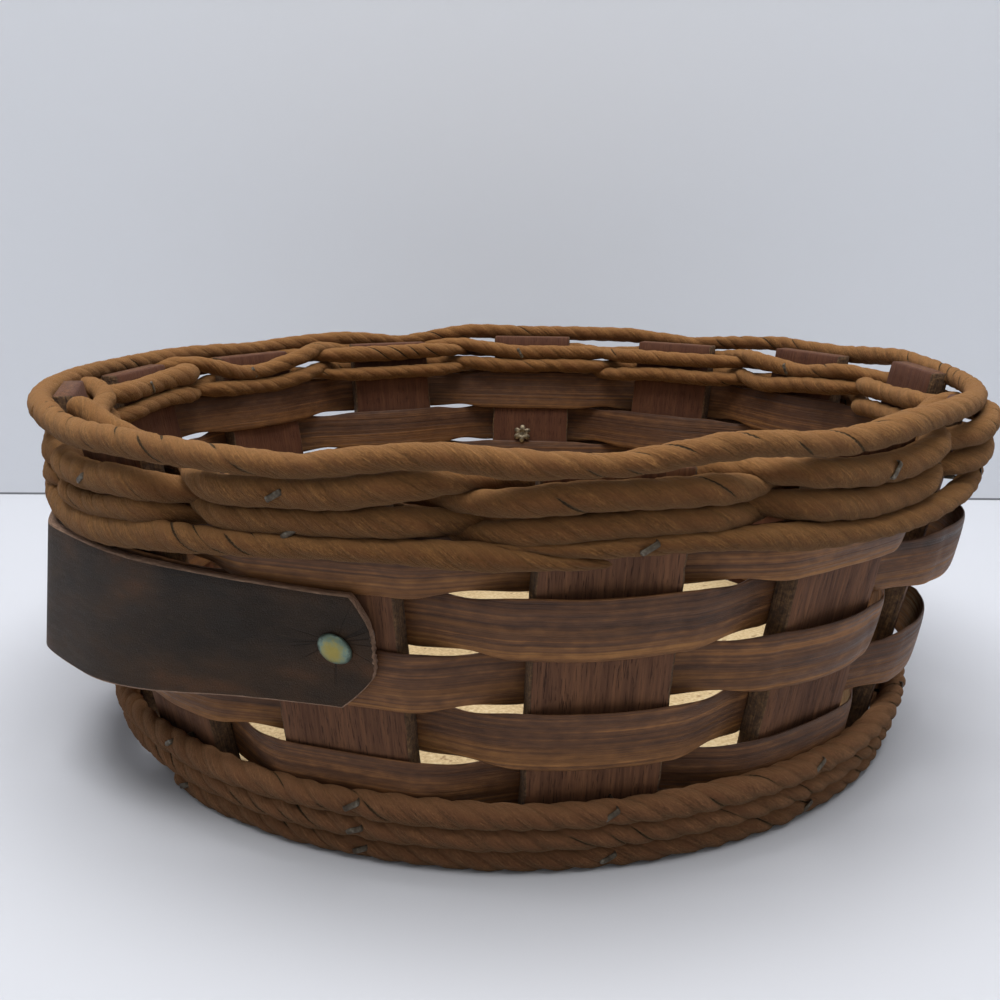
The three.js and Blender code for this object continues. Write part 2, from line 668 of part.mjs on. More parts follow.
function strapGeometry() {
  const rings = [];
  for (let i = 0; i <= STRAP_STEPS; i += 1) {
    rings.push(strapRing(lerp(-STRAP_TIP_ANGLE, STRAP_TIP_ANGLE, i / STRAP_STEPS)));
  }
  return loft(rings);
}

// What of the strap lies between two distances across from its middle
function strapBetween(from, to) {
  const size = 2 * strapFace;
  const block = new THREE.BoxGeometry(size, to - from, size);
  block.translate(size / 2, (from + to) / 2, STRAP_HEIGHT);
  return toGeometry(toSolid(strapGeometry()).intersect(toSolid(block)));
}

function addStrapLoop(side, handle) {
  addMesh(`${side}_strap_loop`, strapBetween(-LOOP_REACH, LOOP_REACH), leatherMaterial, handle);
}

function addStrapEnd(end) {
  const whole = end.turn > 0 ? strapBetween(END_REACH, strapFace) : strapBetween(-strapFace, -END_REACH);
  const hole = holeBeside(end).rotateZ(end.turn * RIVET_ANGLE);
  addMesh(`${end.side}_strap_${end.place}_end`, cut(whole, [hole]), leatherMaterial, end.handle);
}

// The whole basket

addMesh('base_board', cut(boardGeometry(), footSlits), boardMaterial);

for (const k of stakes) {
  const number = String(k + 1).padStart(2, '0');
  const seats = stapleSeats(k);
  addMesh(`stake_${number}`, stakeGeometry(k), stakeMaterial, k);
  addMesh(`rim_staple_${number}`, stapleAt(seats.rim), steelMaterial, k);
  addMesh(`foot_staple_${number}`, stapleAt(seats.foot), steelMaterial, k);
}

const splint = splintRings();
addMesh('woven_splint', cut(loft(splint.rings), rivetHoles), splintMaterial);

const footCord = footCordRings();
addMesh('foot_cord', cut(loft(footCord.rings), footSlits), cordMaterial);

const wovenCord = wovenCordRings();
addMesh('rim_woven_cord', cut(loft(wovenCord.rings), rimSlits), cordMaterial);

addMesh('rim_top_cord', loft(topCordRings()), cordMaterial);
addMesh('rim_lower_cord', cut(loft(lowerCordRings()), rimSlits), cordMaterial);

addStrapLoop('left', LEFT_HANDLE);
addStrapLoop('right', RIGHT_HANDLE);

for (const end of STRAP_ENDS) {
  const rivet = setRivet(rivetSolid(), end.turn * RIVET_OFFSET);
  addStrapEnd(end);
  addMesh(`${end.side}_rivet_${end.place}`, rivet, brassMaterial, stakeOfEnd(end));
}

printLeastGap('woven_splint', splint.rings, splint.steps);
printLeastGap('foot_cord', footCord.rings, footCord.steps);
printLeastGap('rim_woven_cord', wovenCord.rings, wovenCord.steps);
console.log(`strap hinge: ${hinge.x.toFixed(2)} mm from the axis, ${hinge.y.toFixed(2)} mm to each side`);

export default basket;
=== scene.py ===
# %% [markdown]
# A basket that carries a casserole dish
#
# Flat stakes stand round a board and lean out a little. A split strip of wood is woven through
# them, twisted paper cord closes the rim and the foot, and two leather straps are the handles.
# The weaving is made from formulas: each strip or cord is one long path, counted in stakes, with
# a section that is carried along it. That is how the maker works too, so the crossings come out
# right by themselves.

# %% Load the fixed frame
import math

import bmesh
import bpy
import numpy as np
from mathutils import Matrix, Vector


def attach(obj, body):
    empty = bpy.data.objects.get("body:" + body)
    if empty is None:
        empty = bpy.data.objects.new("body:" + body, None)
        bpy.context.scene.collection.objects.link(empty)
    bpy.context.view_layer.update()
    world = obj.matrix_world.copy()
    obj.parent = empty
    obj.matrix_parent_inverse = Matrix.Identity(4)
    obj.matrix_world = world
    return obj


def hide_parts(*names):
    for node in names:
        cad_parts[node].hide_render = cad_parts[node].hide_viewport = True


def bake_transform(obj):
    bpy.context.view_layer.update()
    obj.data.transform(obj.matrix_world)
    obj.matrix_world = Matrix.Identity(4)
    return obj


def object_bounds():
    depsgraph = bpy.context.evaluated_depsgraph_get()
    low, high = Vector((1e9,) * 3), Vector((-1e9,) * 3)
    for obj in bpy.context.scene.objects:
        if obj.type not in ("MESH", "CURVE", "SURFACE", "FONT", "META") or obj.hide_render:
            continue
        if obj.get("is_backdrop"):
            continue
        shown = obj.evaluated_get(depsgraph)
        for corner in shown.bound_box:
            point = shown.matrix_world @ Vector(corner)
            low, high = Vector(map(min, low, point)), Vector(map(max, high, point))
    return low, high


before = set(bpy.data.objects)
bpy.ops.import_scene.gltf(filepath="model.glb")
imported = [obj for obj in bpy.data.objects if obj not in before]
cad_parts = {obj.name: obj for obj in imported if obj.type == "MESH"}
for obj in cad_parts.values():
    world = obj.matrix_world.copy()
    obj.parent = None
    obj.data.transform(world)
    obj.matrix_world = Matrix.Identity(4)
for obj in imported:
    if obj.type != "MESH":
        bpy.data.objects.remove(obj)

cad_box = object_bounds()
BASKET = "basket"


# %% [markdown]
# The camera
#
# The picture was taken from close by, a little above the rim, with the left handle turned towards
# the camera. The camera could be aimed with a constraint, but its place and its three turns are
# known from the round rim and the board, so it is built from its own three axes.

# %% Camera
CAMERA_PLACE = Vector((-0.1721, -0.2934, 0.1428))
HEADING, PITCH, ROLL = (math.radians(a) for a in (60.09, -14.0, 0.34))

facing = Vector((math.cos(HEADING), math.sin(HEADING), 0))
forward = facing * math.cos(PITCH) + Vector((0, 0, math.sin(PITCH)))
level = Vector((math.sin(HEADING), -math.cos(HEADING), 0))
upward = level.cross(forward)
right = level * math.cos(ROLL) + upward * math.sin(ROLL)
upward = right.cross(forward)

lens = bpy.data.cameras.new("camera")
lens.lens = 39.32
lens.sensor_width = 36
camera = bpy.data.objects.new("camera", lens)
axes = Matrix((right, upward, -forward)).transposed().to_4x4()
camera.matrix_world = Matrix.Translation(CAMERA_PLACE) @ axes
bpy.context.scene.collection.objects.link(camera)
bpy.context.scene.camera = camera
print("camera at", [round(v, 3) for v in CAMERA_PLACE])


# %% [markdown]
# The measures of the basket
#
# Everything is worked out in millimetres and stepped down to metres when a mesh is made. A place
# round the basket is counted in stakes: stake 0, stake 1 and so on, with halves between them.
# The wall leans, so the distance from the axis to a stake's face grows with the height.

# %% Stakes and wall
MM = 0.001
STAKES = 13
STAKE_WIDTH = 32
STAKE_THICKNESS = 5.5
FOOT_RADIUS = 112.8
WALL_LEAN = 0.195
CLEARANCE = 0.3
LEFT_HANDLE = 11.5
RIGHT_HANDLE = 5.5

PITCH_ANGLE = 2 * np.pi / STAKES
LEAN_ANGLE = math.atan(WALL_LEAN)
STAKE_DEPTH = STAKE_THICKNESS / math.cos(LEAN_ANGLE)
STRAPPED = (0, 10, 4, 7)


def angle_at(n):
    return np.pi + (np.asarray(n, float) - LEFT_HANDLE) * PITCH_ANGLE


def directions_at(n):
    """Unit vectors outwards and along the wall, at a place round the basket."""
    x, y = math.cos(angle_at(n)), math.sin(angle_at(n))
    return np.array([x, y, 0]), np.array([-y, x, 0])


def outer_face(z):
    return FOOT_RADIUS + WALL_LEAN * z


def inner_face(z):
    return outer_face(z) - STAKE_DEPTH


def corner_stretch(z):
    return np.hypot(1, STAKE_WIDTH / 2 / outer_face(z))


def polar(angle, radius, z):
    angle, radius, z = np.broadcast_arrays(angle, radius, z)
    return np.stack([radius * np.cos(angle), radius * np.sin(angle), z], -1)


def around(count):
    """Angles once round, in even steps."""
    return np.arange(count) / count * 2 * np.pi


print("foot radius", outer_face(0), "mm, at the rim", outer_face(98), "mm")


# %% [markdown]
# Small tools
#
# Real paper, leather and split wood are never even, so most shapes get a slow, smooth drift. It
# could come from Blender's noise, but a row of random numbers joined by smooth steps is quick for
# long arrays, and its seed makes each run the same.

# %% Smooth steps and drifts
def smooth(t):
    t = np.clip(t, 0, 1)
    return t * t * (3 - 2 * t)


def blend_values(a, b, t):
    return a + (b - a) * t


def drift(along, step, seed):
    """Smooth random values from -1 to 1, with a new one after each step."""
    place = np.asarray(along, float) / step
    low = np.floor(place)
    start = int(low.min())
    values = np.random.default_rng(seed).uniform(-1, 1, int(low.max()) - start + 2)
    index = (low - start).astype(int)
    return blend_values(values[index], values[index + 1], smooth(place - low))


def along_knots(n, knots, reach=0.1):
    """Values at places n, from straight steps between knots of (place, value) that are rounded off."""
    places, values = np.array(sorted(knots), float).T
    shifts = (-1, -0.5, 0, 0.5, 1)
    return sum(np.interp(n + reach * shift, places, values) for shift in shifts) / len(shifts)


print("a drift begins with", drift([0, 1, 2, 3], 2, 1).round(2))


# %% [markdown]
# From rings to a mesh
#
# A cord, a strip of wood and a strap are all the same kind of mesh: rings of points, each joined
# to the next by four-sided faces, with an end cap at both ends. Blender's curves could carry a
# section along a path as well, but with our own rings every point can be nudged, and each can
# keep where it lies along and across the strip. The materials read that place to run their grain
# the right way.

# %% Mesh makers
def new_object(name, points, faces, body=BASKET):
    mesh = bpy.data.meshes.new(name)
    points = np.asarray(points, float).reshape(-1, 3) * MM
    mesh.from_pydata(points.tolist(), [], faces)
    mesh.update()
    mesh.shade_smooth()
    made = bpy.data.objects.new(name, mesh)
    bpy.context.scene.collection.objects.link(made)
    if body:
        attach(made, body)
    return made


def ring_faces(count, sides, first=0):
    """Faces between rings, and a fan at each end round its middle point."""
    ring = np.arange(count - 1)[:, None] * sides
    side = np.arange(sides)[None, :]
    after = (side + 1) % sides
    a, b = ring + side, ring + after
    quads = np.stack([a, b, b + sides, a + sides], -1).reshape(-1, 4) + first
    faces = quads.tolist()
    last = (count - 1) * sides
    middles = (first + count * sides, first + count * sides + 1)
    for s in range(sides):
        faces.append([first + (s + 1) % sides, first + s, middles[0]])
        faces.append([first + last + s, first + last + (s + 1) % sides, middles[1]])
    return faces


def rings_round(path, out, up, across, upright):
    """Rings round a path, from distances in two directions that are square to it."""
    return path[:, None] + out[:, None] * across[..., None] + up[:, None] * upright[..., None]


def with_middles(rings):
    """The rings' points or values in one list, with the middle of each end after them."""
    flat = rings.reshape(-1, rings.shape[-1])
    return np.vstack([flat, rings[0].mean(0), rings[-1].mean(0)])


def remember(made, name, values):
    """Keeps a vector at each point, which the materials read by its name."""
    data = made.data.attributes.new(name, "FLOAT_VECTOR", "POINT")
    data.data.foreach_set("vector", np.asarray(values, np.float32).ravel())


print("two rings of four points have", len(ring_faces(2, 4)), "faces")

# %% Pieces made of rings
def face_outward(made, told=True):
    """Turns the faces out if the mesh came out inside out, and prints its volume."""
    bm = bmesh.new()
    bm.from_mesh(made.data)
    volume = bm.calc_volume(signed=True)
    if volume < 0:
        bmesh.ops.reverse_faces(bm, faces=bm.faces)
        bm.to_mesh(made.data)
    bm.free()
    if told:
        print(f"{made.name}: {len(made.data.polygons)} faces, {abs(volume) * 1e6:.2f} cm3")
    return made


def swept(name, rings, grain, nodes, body=BASKET):
    made = new_object(name, with_middles(rings), ring_faces(len(rings), rings.shape[1]), body)
    remember(made, "grain", with_middles(grain))
    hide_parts(*nodes)
    return face_outward(made)


print("a piece keeps its grain at each point, for its material")


# %% [markdown]
# Colours
#
# A shader wants linear values, while a photograph's numbers are spread for the screen. This turns
# the one into the other, and each colour below is then an ordinary screen colour.

# %% Colour helper
def shade(red, green, blue):
    def linear(value):
        value = value / 255
        return value / 12.92 if value <= 0.04045 else ((value + 0.055) / 1.055) ** 2.4
    return (linear(red), linear(green), linear(blue), 1.0)


print("kraft paper", [round(v, 3) for v in shade(176, 130, 86)[:3]])


# %% [markdown]
# A short way to wire a material
#
# A material is a graph of nodes. Wired by hand it takes three lines for each node, so a small
# class keeps the graph and has one short method for each kind of node used here, and what a
# node gives can be added and multiplied with ordinary signs. It changes nothing about the nodes:
# they can be opened and read in the shader editor afterwards. Colours are written as screen
# values, and it turns them into linear ones.

# %% Values with signs
class Value:
    """What a node gives. Each sign between two values makes one more node."""
    def __init__(self, finish, socket):
        self.finish, self.socket = finish, socket

    def __add__(self, other):
        return self.finish.math("ADD", self, other)

    def __sub__(self, other):
        return self.finish.math("SUBTRACT", self, other)

    def __mul__(self, other):
        return self.finish.math("MULTIPLY", self, other)


print("signs that make a node: + - *")

# %% Material graph helper
class Finish:
    def __init__(self, name, roughness, metallic=0.0, shine=0.5):
        self.material = bpy.data.materials.new(name)
        self.material.use_nodes = True
        self.nodes = self.material.node_tree.nodes
        self.shader = self.nodes["Principled BSDF"]
        self.put(self.shader, {"Roughness": roughness, "Metallic": metallic, "Specular IOR Level": shine})

    def put(self, node, inputs):
        """Links a node's inputs, or sets numbers or screen colours on them."""
        for name, value in inputs.items():
            if isinstance(value, Value):
                self.material.node_tree.links.new(value.socket, node.inputs[name])
            else:
                node.inputs[name].default_value = shade(*value) if isinstance(value, tuple) else value

    def add(self, kind, *values, **settings):
        """A new node with its settings, and with values for its first inputs."""
        node = self.nodes.new(kind)
        for name, value in settings.items():
            setattr(node, name, value)
        self.put(node, dict(enumerate(values)))
        return node

    def given(self, output, kind, *values, **settings):
        """What a new node gives at one of its outputs."""
        return Value(self, self.add(kind, *values, **settings).outputs[output])

    def kept(self, name):
        """A vector that the mesh keeps at each point."""
        return self.given("Vector", "ShaderNodeAttribute", attribute_name=name)

    def place(self):
        """Where a point lies in space, in metres."""
        return self.given("Object", "ShaderNodeTexCoord")

    def parts(self, vector):
        return [Value(self, part) for part in self.add("ShaderNodeSeparateXYZ", vector).outputs]

    def noise(self, vector, scale, detail=2.0, roughness=0.5):
        """Noise of one scale, or with a scale for each direction, which stretches it."""
        if isinstance(scale, tuple):
            mapping = self.add("ShaderNodeMapping", vector)
            mapping.inputs["Scale"].default_value = scale
            vector, scale = Value(self, mapping.outputs[0]), 1.0
        node = self.add("ShaderNodeTexNoise", vector)
        self.put(node, {"Scale": scale, "Detail": detail, "Roughness": roughness})
        return Value(self, node.outputs["Fac"])

    def math(self, operation, *values):
        return self.given(0, "ShaderNodeMath", *values, operation=operation)

    def between(self, value, low, high, most=1.0):
        """0 up to low, the most from high, and a smooth step from one to the other."""
        limits = (low, high, 0.0, most)
        return self.given(0, "ShaderNodeMapRange", value, *limits, interpolation_type="SMOOTHSTEP")

    def colours(self, value, *stops):
        ramp = self.add("ShaderNodeValToRGB", value)
        elements = ramp.color_ramp.elements
        while len(elements) < len(stops):
            elements.new(0.5)
        for element, (place, colour) in zip(elements, stops):
            element.position = place
            element.color = shade(*colour)
        return Value(self, ramp.outputs[0])

    def mix(self, share, a, b):
        node = self.add("ShaderNodeMix", share, data_type="RGBA")
        self.put(node, {6: a, 7: b})
        return Value(self, node.outputs[2])

    def done(self, colour, height, depth_mm, strength=1.0, roughness=None):
        """The finished material, with bump this deep from a height of 0 to 1."""
        bump = self.add("ShaderNodeBump")
        self.put(bump, {"Strength": strength, "Distance": depth_mm * MM, "Height": height})
        self.put(self.shader, {"Base Color": colour, "Normal": Value(self, bump.outputs[0])})
        if roughness is not None:
            self.put(self.shader, {"Roughness": roughness})
        return self.material


print("a finish is made with", [name for name in vars(Finish) if not name.startswith("_")])


# %% [markdown]
# Twisted paper
#
# The cord is one ribbon of brown kraft paper, twisted until it is round. Its fine folds run
# slanting round the cord, here and there one opens into a dark crease, and the surface is furry
# enough to look pale where light skims over it. An image texture would need a photograph, and a
# plain noise has no direction. So each point of a cord keeps where it lies in the twist, and
# a noise that is stretched along the twist gives folds that wind round as the real ones do. The
# grooves and the opened creases are painted darker as shade, the top of each cord is painted
# lighter as light from above, and its underside is painted darker as shade.

# %% Paper cord finish
def paper_finish(name, tones):
    finish = Finish(name, 0.92, shine=0.1)
    twist = finish.kept("grain")
    beside, across, opened = finish.parts(finish.kept("wear"))
    folds = finish.noise(twist, (4.0, 4.0, 0.88), 5.0, 0.65)
    nap = finish.noise(twist, (9.0, 9.0, 11.7), 4.0, 0.75)
    patches = finish.noise(twist, (0.7, 0.7, 0.9), 4.0, 0.6)
    paper = finish.colours(folds * 0.4 + nap * 0.6,
                           (0.36, tones[0]), (0.46, tones[1]), (0.54, tones[2]), (0.65, tones[3]))
    toned = finish.mix(finish.between(patches, 0.42, 0.62, 0.6), paper, tones[4])
    # Painted shade: the groove between two lobes is painted darker, and an opened crease near black
    angle = finish.math("ABSOLUTE", finish.math("ARCTAN2", across, beside))
    fold = finish.between(angle, 0.9, 0.0)
    slit = finish.between(angle - opened * 0.42, 0.0, -0.14)
    lined = finish.mix(fold * 0.3, toned, tones[0])
    # Painted light and shade: where the cord faces up it is painted lighter, where it faces down darker
    upward = finish.parts(finish.given("Normal", "ShaderNodeNewGeometry"))[2]
    painted_top_light = finish.mix(finish.between(upward, 0.05, 0.95, 0.4), lined, tones[3])
    shaded = finish.mix(finish.between(upward, 0.3, -0.7, 0.62), painted_top_light, tones[0])
    # Painted shade inside an opened crease
    colour = finish.mix(slit, shaded, (26, 16, 9))
    height = folds * 0.7 + nap * 0.8 - (fold * 0.25 + slit)
    finish.put(finish.shader, {"Sheen Weight": 0.32, "Sheen Roughness": 0.6,
                               "Sheen Tint": (214, 178, 132)})
    return finish.done(colour, height, 0.6)


# Four tones from dark to light, and one for the patches
RIM_TONES = ((68, 41, 21), (102, 66, 36), (126, 84, 47), (166, 118, 70), (108, 66, 38))
FOOT_TONES = ((56, 33, 21), (94, 61, 41), (116, 77, 52), (150, 105, 71), (104, 65, 44))
PAPER = paper_finish("twisted_paper", RIM_TONES)
FOOT_PAPER = paper_finish("twisted_paper_foot", FOOT_TONES)
print("made", PAPER.name, "and", FOOT_PAPER.name)


# %% [markdown]
# Split wood
#
# The splint was split along the grain and stained, so it is streaked from end to end: a dark
# heart along the middle and upper edge, paler sapwood along the lower edge, and fine fibres
# everywhere. A wood texture with rings is the usual choice, but it makes sawn boards. Noise that
# is stretched fifty times along the strip makes streaks, and one broad step across the strip
# makes the sapwood.

# %% Splint finish
def splint_finish():
    finish = Finish("stained_splint", 0.5, shine=0.28)
    grain = finish.kept("grain")
    across, lift = finish.parts(grain)[1:]
    bands = finish.noise(grain, (0.007, 0.3, 0.1), 3.0)
    streaks = finish.noise(grain, (0.008, 1.3, 0.1), 3.0, 0.55)
    fibres = finish.noise(grain, (0.06, 5.0, 1), 3.0)
    mottle = finish.noise(grain, (0.25, 0.5, 1), 3.0)
    sap = finish.between(across + (bands - 0.5) * 34.0, -1.0, -5.0)
    tone = bands * 0.45 + streaks * 0.35 + mottle * 0.2
    heart = finish.colours(tone, (0.36, (48, 30, 19)), (0.46, (80, 52, 34)), (0.54, (102, 68, 43)),
                           (0.64, (146, 100, 60)))
    sapwood = finish.colours(tone, (0.36, (82, 51, 28)), (0.5, (128, 86, 49)), (0.64, (172, 122, 70)))
    wood = finish.mix(sap, heart, sapwood)
    lined = finish.mix(finish.between(fibres, 0.47, 0.3, 0.35), wood, (52, 33, 22))
    # Painted shade: the back face, inside the basket, is painted darker
    colour = finish.mix(finish.between(lift, 0.1, -0.3, 0.45), lined, (60, 34, 19))
    gloss = finish.between(streaks, 0.1, 1.4) + 0.3
    return finish.done(colour, fibres + streaks * 1.5, 0.22, 0.8, gloss)


SPLINT = splint_finish()
print("made", SPLINT.name)


# %% [markdown]
# Plywood stakes
#
# The stakes are strips of thin plywood with the grain upright. Their faces are a dull reddish
# brown, full of short dark pores. The cut sides show the glued plies, which are darker and
# crumbly, so the mesh gives its sides a second material.

# %% Stake finishes
def stake_face_finish():
    finish = Finish("stake_face", 0.72, shine=0.2)
    grain = finish.kept("grain")
    tone = finish.noise(grain, (0.25, 0.02, 1), 3.0)
    figure = finish.noise(grain, (1.3, 0.05, 1), 3.0, 0.6)
    pores = finish.noise(grain, (4.4, 0.2, 1), 2.0, 0.6)
    base = finish.colours(tone * 0.5 + figure * 0.5,
                          (0.34, (78, 50, 35)), (0.5, (100, 67, 47)), (0.66, (122, 83, 57)))
    pore = finish.between(pores, 0.4, 0.32)
    pored = finish.mix(pore * 0.8, base, (44, 27, 20))
    # Painted shade: the inner face, inside the basket, is painted darker and redder
    inner = finish.between(finish.parts(grain)[2], 2.0, 0.5, 0.55)
    colour = finish.mix(inner, pored, (72, 36, 24))
    return finish.done(colour, figure - pore, 0.25, 0.8)


def stake_edge_finish():
    finish = Finish("stake_edge", 0.9)
    grain = finish.kept("grain")
    plies = finish.noise(grain, (0.5, 0.12, 2.2), 4.0, 0.7)
    crumbs = finish.noise(grain, 0.9, 4.0, 0.7)
    colour = finish.colours(plies * 0.5 + crumbs * 0.5,
                            (0.36, (44, 30, 19)), (0.5, (86, 61, 38)), (0.64, (126, 94, 58)))
    return finish.done(colour, crumbs, 0.8)


STAKE_FINISHES = [stake_face_finish(), stake_edge_finish()]
print("made", [finish.name for finish in STAKE_FINISHES])


# %% [markdown]
# Pressed board
#
# The base is a pale board of pressed wood fibre. Close up it is a mat of short fibres with small
# dark specks of bark. Two noises give both: a fine one for the mat, and a coarser one of which
# only the lowest values show, as specks.

# %% Board finish
def board_finish():
    finish = Finish("pressed_board", 0.8)
    place = finish.place()
    mat = finish.noise(place, 900.0, 3.0, 0.6)
    cloud = finish.noise(place, 35.0, 3.0)
    specks = finish.between(finish.noise(place, 420.0), 0.36, 0.28, 0.7)
    base = finish.colours(mat * 0.6 + cloud * 0.4,
                          (0.38, (172, 145, 104)), (0.5, (196, 170, 126)), (0.62, (212, 190, 148)))
    colour = finish.mix(specks, base, (120, 84, 50))
    return finish.done(colour, mat, 0.2, 0.6)


BOARD = board_finish()
print("made", BOARD.name)


# %% [markdown]
# Leather
#
# Each strap is a thick strip of dark, waxed leather. Its face is grey-brown with warmer patches
# where the wax has worn, its cut edge is raw and tan, and its back is plain brown suede. Three
# materials share one mesh, the grain of the face is a fine cell pattern that is barely deep, and
# short creases fan out from each rivet.

# %% Leather finishes
def leather_face_finish():
    finish = Finish("leather_face", 0.6, shine=0.16)
    hide = finish.kept("grain")
    patches = finish.noise(hide, (0.05, 0.09, 1), 4.0, 0.55)
    scuffs = finish.noise(hide, (0.12, 0.9, 1), 4.0, 0.7)
    fine = finish.noise(hide, 2.5, 3.0)
    pores = finish.add("ShaderNodeTexVoronoi", hide, feature="DISTANCE_TO_EDGE")
    finish.put(pores, {"Scale": 1.5})
    base = finish.colours(patches, (0.34, (42, 34, 27)), (0.48, (53, 41, 31)), (0.6, (63, 46, 32)),
                          (0.72, (80, 54, 35)))
    worn = finish.mix(finish.between(scuffs, 0.6, 0.78, 0.5), base, (82, 70, 58))
    beside, above = finish.parts(finish.kept("wear"))[:2]
    spread = finish.noise(finish.math("ARCTAN2", above, beside) * 3.2, 1.0)
    reach = finish.math("SQRT", beside * beside + above * above)
    # Painted shade: the creases round each rivet are painted dark as well as cut into the bump
    crease = finish.between(spread, 0.44, 0.38) * finish.between(reach, 13.0, 5.0)
    colour = finish.mix(crease * 0.6, worn, (26, 20, 16))
    height = finish.between(Value(finish, pores.outputs["Distance"]), 0.0, 0.12) + fine - crease * 3.0
    return finish.done(colour, height, 0.14, 0.8, scuffs * 0.35 + 0.42)


def leather_edge_finish():
    finish = Finish("leather_edge", 0.8)
    fibres = finish.noise(finish.kept("grain"), (0.3, 1, 3), 4.0, 0.7)
    colour = finish.colours(fibres, (0.3, (94, 70, 53)), (0.5, (136, 106, 84)), (0.7, (172, 140, 116)))
    return finish.done(colour, fibres, 0.3, 0.8)


def leather_back_finish():
    finish = Finish("leather_back", 0.92)
    nap = finish.noise(finish.kept("grain"), 1.2, 4.0, 0.7)
    colour = finish.colours(nap, (0.3, (70, 50, 38)), (0.7, (104, 76, 56)))
    finish.put(finish.shader, {"Sheen Weight": 0.2})
    return finish.done(colour, nap, 0.25, 0.6)


LEATHER_FINISHES = [leather_face_finish(), leather_edge_finish(), leather_back_finish()]
print("made", [finish.name for finish in LEATHER_FINISHES])


# %% [markdown]
# Rivets and staples
#
# The rivets are soft brass that has gone pale and greenish, with yellow metal where a thumb rubs.
# The staples are dull grey wire with brown stain on it.

# %% Metal finishes
def brass_finish():
    finish = Finish("worn_brass", 0.42, 0.7)
    share, _, inside = finish.parts(finish.kept("grain"))
    tarnish = finish.noise(finish.place(), 420.0, 4.0, 0.65)
    scratches = finish.noise(finish.place(), 1600.0)
    head = finish.colours(share + (tarnish - 0.5) * 1.5,
                          (0.3, (152, 138, 72)), (0.6, (140, 140, 98)), (0.8, (116, 136, 124)),
                          (1.0, (86, 98, 88)))
    star = finish.colours(tarnish, (0.4, (78, 64, 50)), (0.6, (150, 136, 112)))
    return finish.done(finish.mix(inside, head, star), scratches, 0.06, 0.6, tarnish * 0.5 + 0.2)


def steel_finish():
    finish = Finish("dull_staple_wire", 0.55, 0.55)
    stain = finish.noise(finish.place(), 700.0, 3.0, 0.6)
    colour = finish.colours(stain, (0.35, (64, 52, 40)), (0.55, (92, 82, 68)), (0.7, (132, 126, 114)))
    return finish.done(colour, stain, 0.08, 0.5)


BRASS = brass_finish()
STEEL = steel_finish()
print("made", BRASS.name, "and", STEEL.name)

# %% Giving a piece its finish
def dress(made, slot, *materials):
    for material in materials:
        made.data.materials.append(material)
    return made


def give_kinds(made, kinds, rings, at_ends):
    """Gives each face round the section its own material number, and one to both ends."""
    on_sides = (rings - 1) * len(kinds)
    for polygon in made.data.polygons:
        on_side = polygon.index < on_sides
        polygon.material_index = kinds[polygon.index % len(kinds)] if on_side else at_ends


print("materials so far, with the frame's own:", len(bpy.data.materials))


# %% [markdown]
# Heights of the rounds
#
# From the table up: three turns of foot cord, five rows of splint, the lower cord, two levels of
# woven cord, and the top cord. The rows of splint are even, so their heights follow from one
# another. The cords at the rim rise and fall, and get tables of heights further on.

# %% Rounds
FOOT_CORD = 5.9
FOOT_TURNS = 3
TURN_GAP = 0.5
SPLINT_WIDTH = 14.9
SPLINT_THICKNESS = 1.2
SPLINT_ROWS = 5
LAST_ROW_WIDTH = 7.45
CROSSING_WIDTH = 13.64
STRAND = 5.8
LOWER_CORD = 5.5

FOOT_PITCH = FOOT_CORD + TURN_GAP
LOWEST_TURN = CLEARANCE + FOOT_CORD / 2
LAST_ROW_BOTTOM = LOWEST_TURN + (FOOT_TURNS - 1) * FOOT_PITCH + FOOT_CORD / 2 + CLEARANCE
ROW_PITCH = CROSSING_WIDTH + TURN_GAP
TOP_ROW = LAST_ROW_BOTTOM + LAST_ROW_WIDTH - SPLINT_WIDTH / 2 + (SPLINT_ROWS - 1) * ROW_PITCH
LOWER_CORD_HEIGHT = TOP_ROW + SPLINT_WIDTH / 2 - LOWER_CORD / 2
SPLINT_OFFSET = CLEARANCE + SPLINT_THICKNESS / 2
OVER_SPLINT = 2 * CLEARANCE + SPLINT_THICKNESS
print(f"top row at {TOP_ROW:.2f} mm, lower cord at {LOWER_CORD_HEIGHT:.2f} mm")


# %% [markdown]
# How weaving goes
#
# A weaver passes in front of one stake and behind the next. There is an odd number of stakes, so
# each round falls the other way than the one below it, and one long strip can go on without a
# break. Behind the left handle it drops to the next level. These two functions say, for any place
# along the strip, how many rounds are done and on which side of the wall it is.

# %% Weaving
DROP_START = LEFT_HANDLE - 1.05
DROP_LENGTH = 1.5
CORD_EDGE = 0.26
SPLINT_EDGE = 0.3
FLAT_ANGLE = SPLINT_EDGE * PITCH_ANGLE


def rounds_done(n):
    around = np.floor(n / STAKES)
    return around + smooth((n - around * STAKES - DROP_START) / DROP_LENGTH)


def side_of_wall(n, edge):
    """1 outside an even stake, -1 inside an odd one, and a smooth curve from one to the other."""
    stake = np.round(n)
    past = np.clip((np.abs(n - stake) - edge) / (0.5 - edge), 0, 1)
    return np.where(stake % 2 == 0, 1, -1) * np.cos(np.pi / 2 * past)


def unit(vectors):
    return vectors / np.linalg.norm(vectors, axis=1, keepdims=True)


def steps_along(first, last, step, radius=130):
    """Places from one stake number to another, about this many millimetres apart."""
    return np.linspace(first, last, int((last - first) * PITCH_ANGLE * radius / step) + 1)


def frame_of_path(path):
    """Unit vectors along a path, outwards and upwards square to it, and the length so far."""
    along = unit(np.gradient(path, axis=0))
    radial = path * (1, 1, 0)
    out = unit(radial - along * (radial * along).sum(1, keepdims=True))
    steps = np.linalg.norm(np.diff(path, axis=0), axis=1)
    return along, out, np.cross(out, along), np.concatenate([[0], np.cumsum(steps)])


print("drop behind the left handle, from stake", DROP_START, "to", DROP_START + DROP_LENGTH)


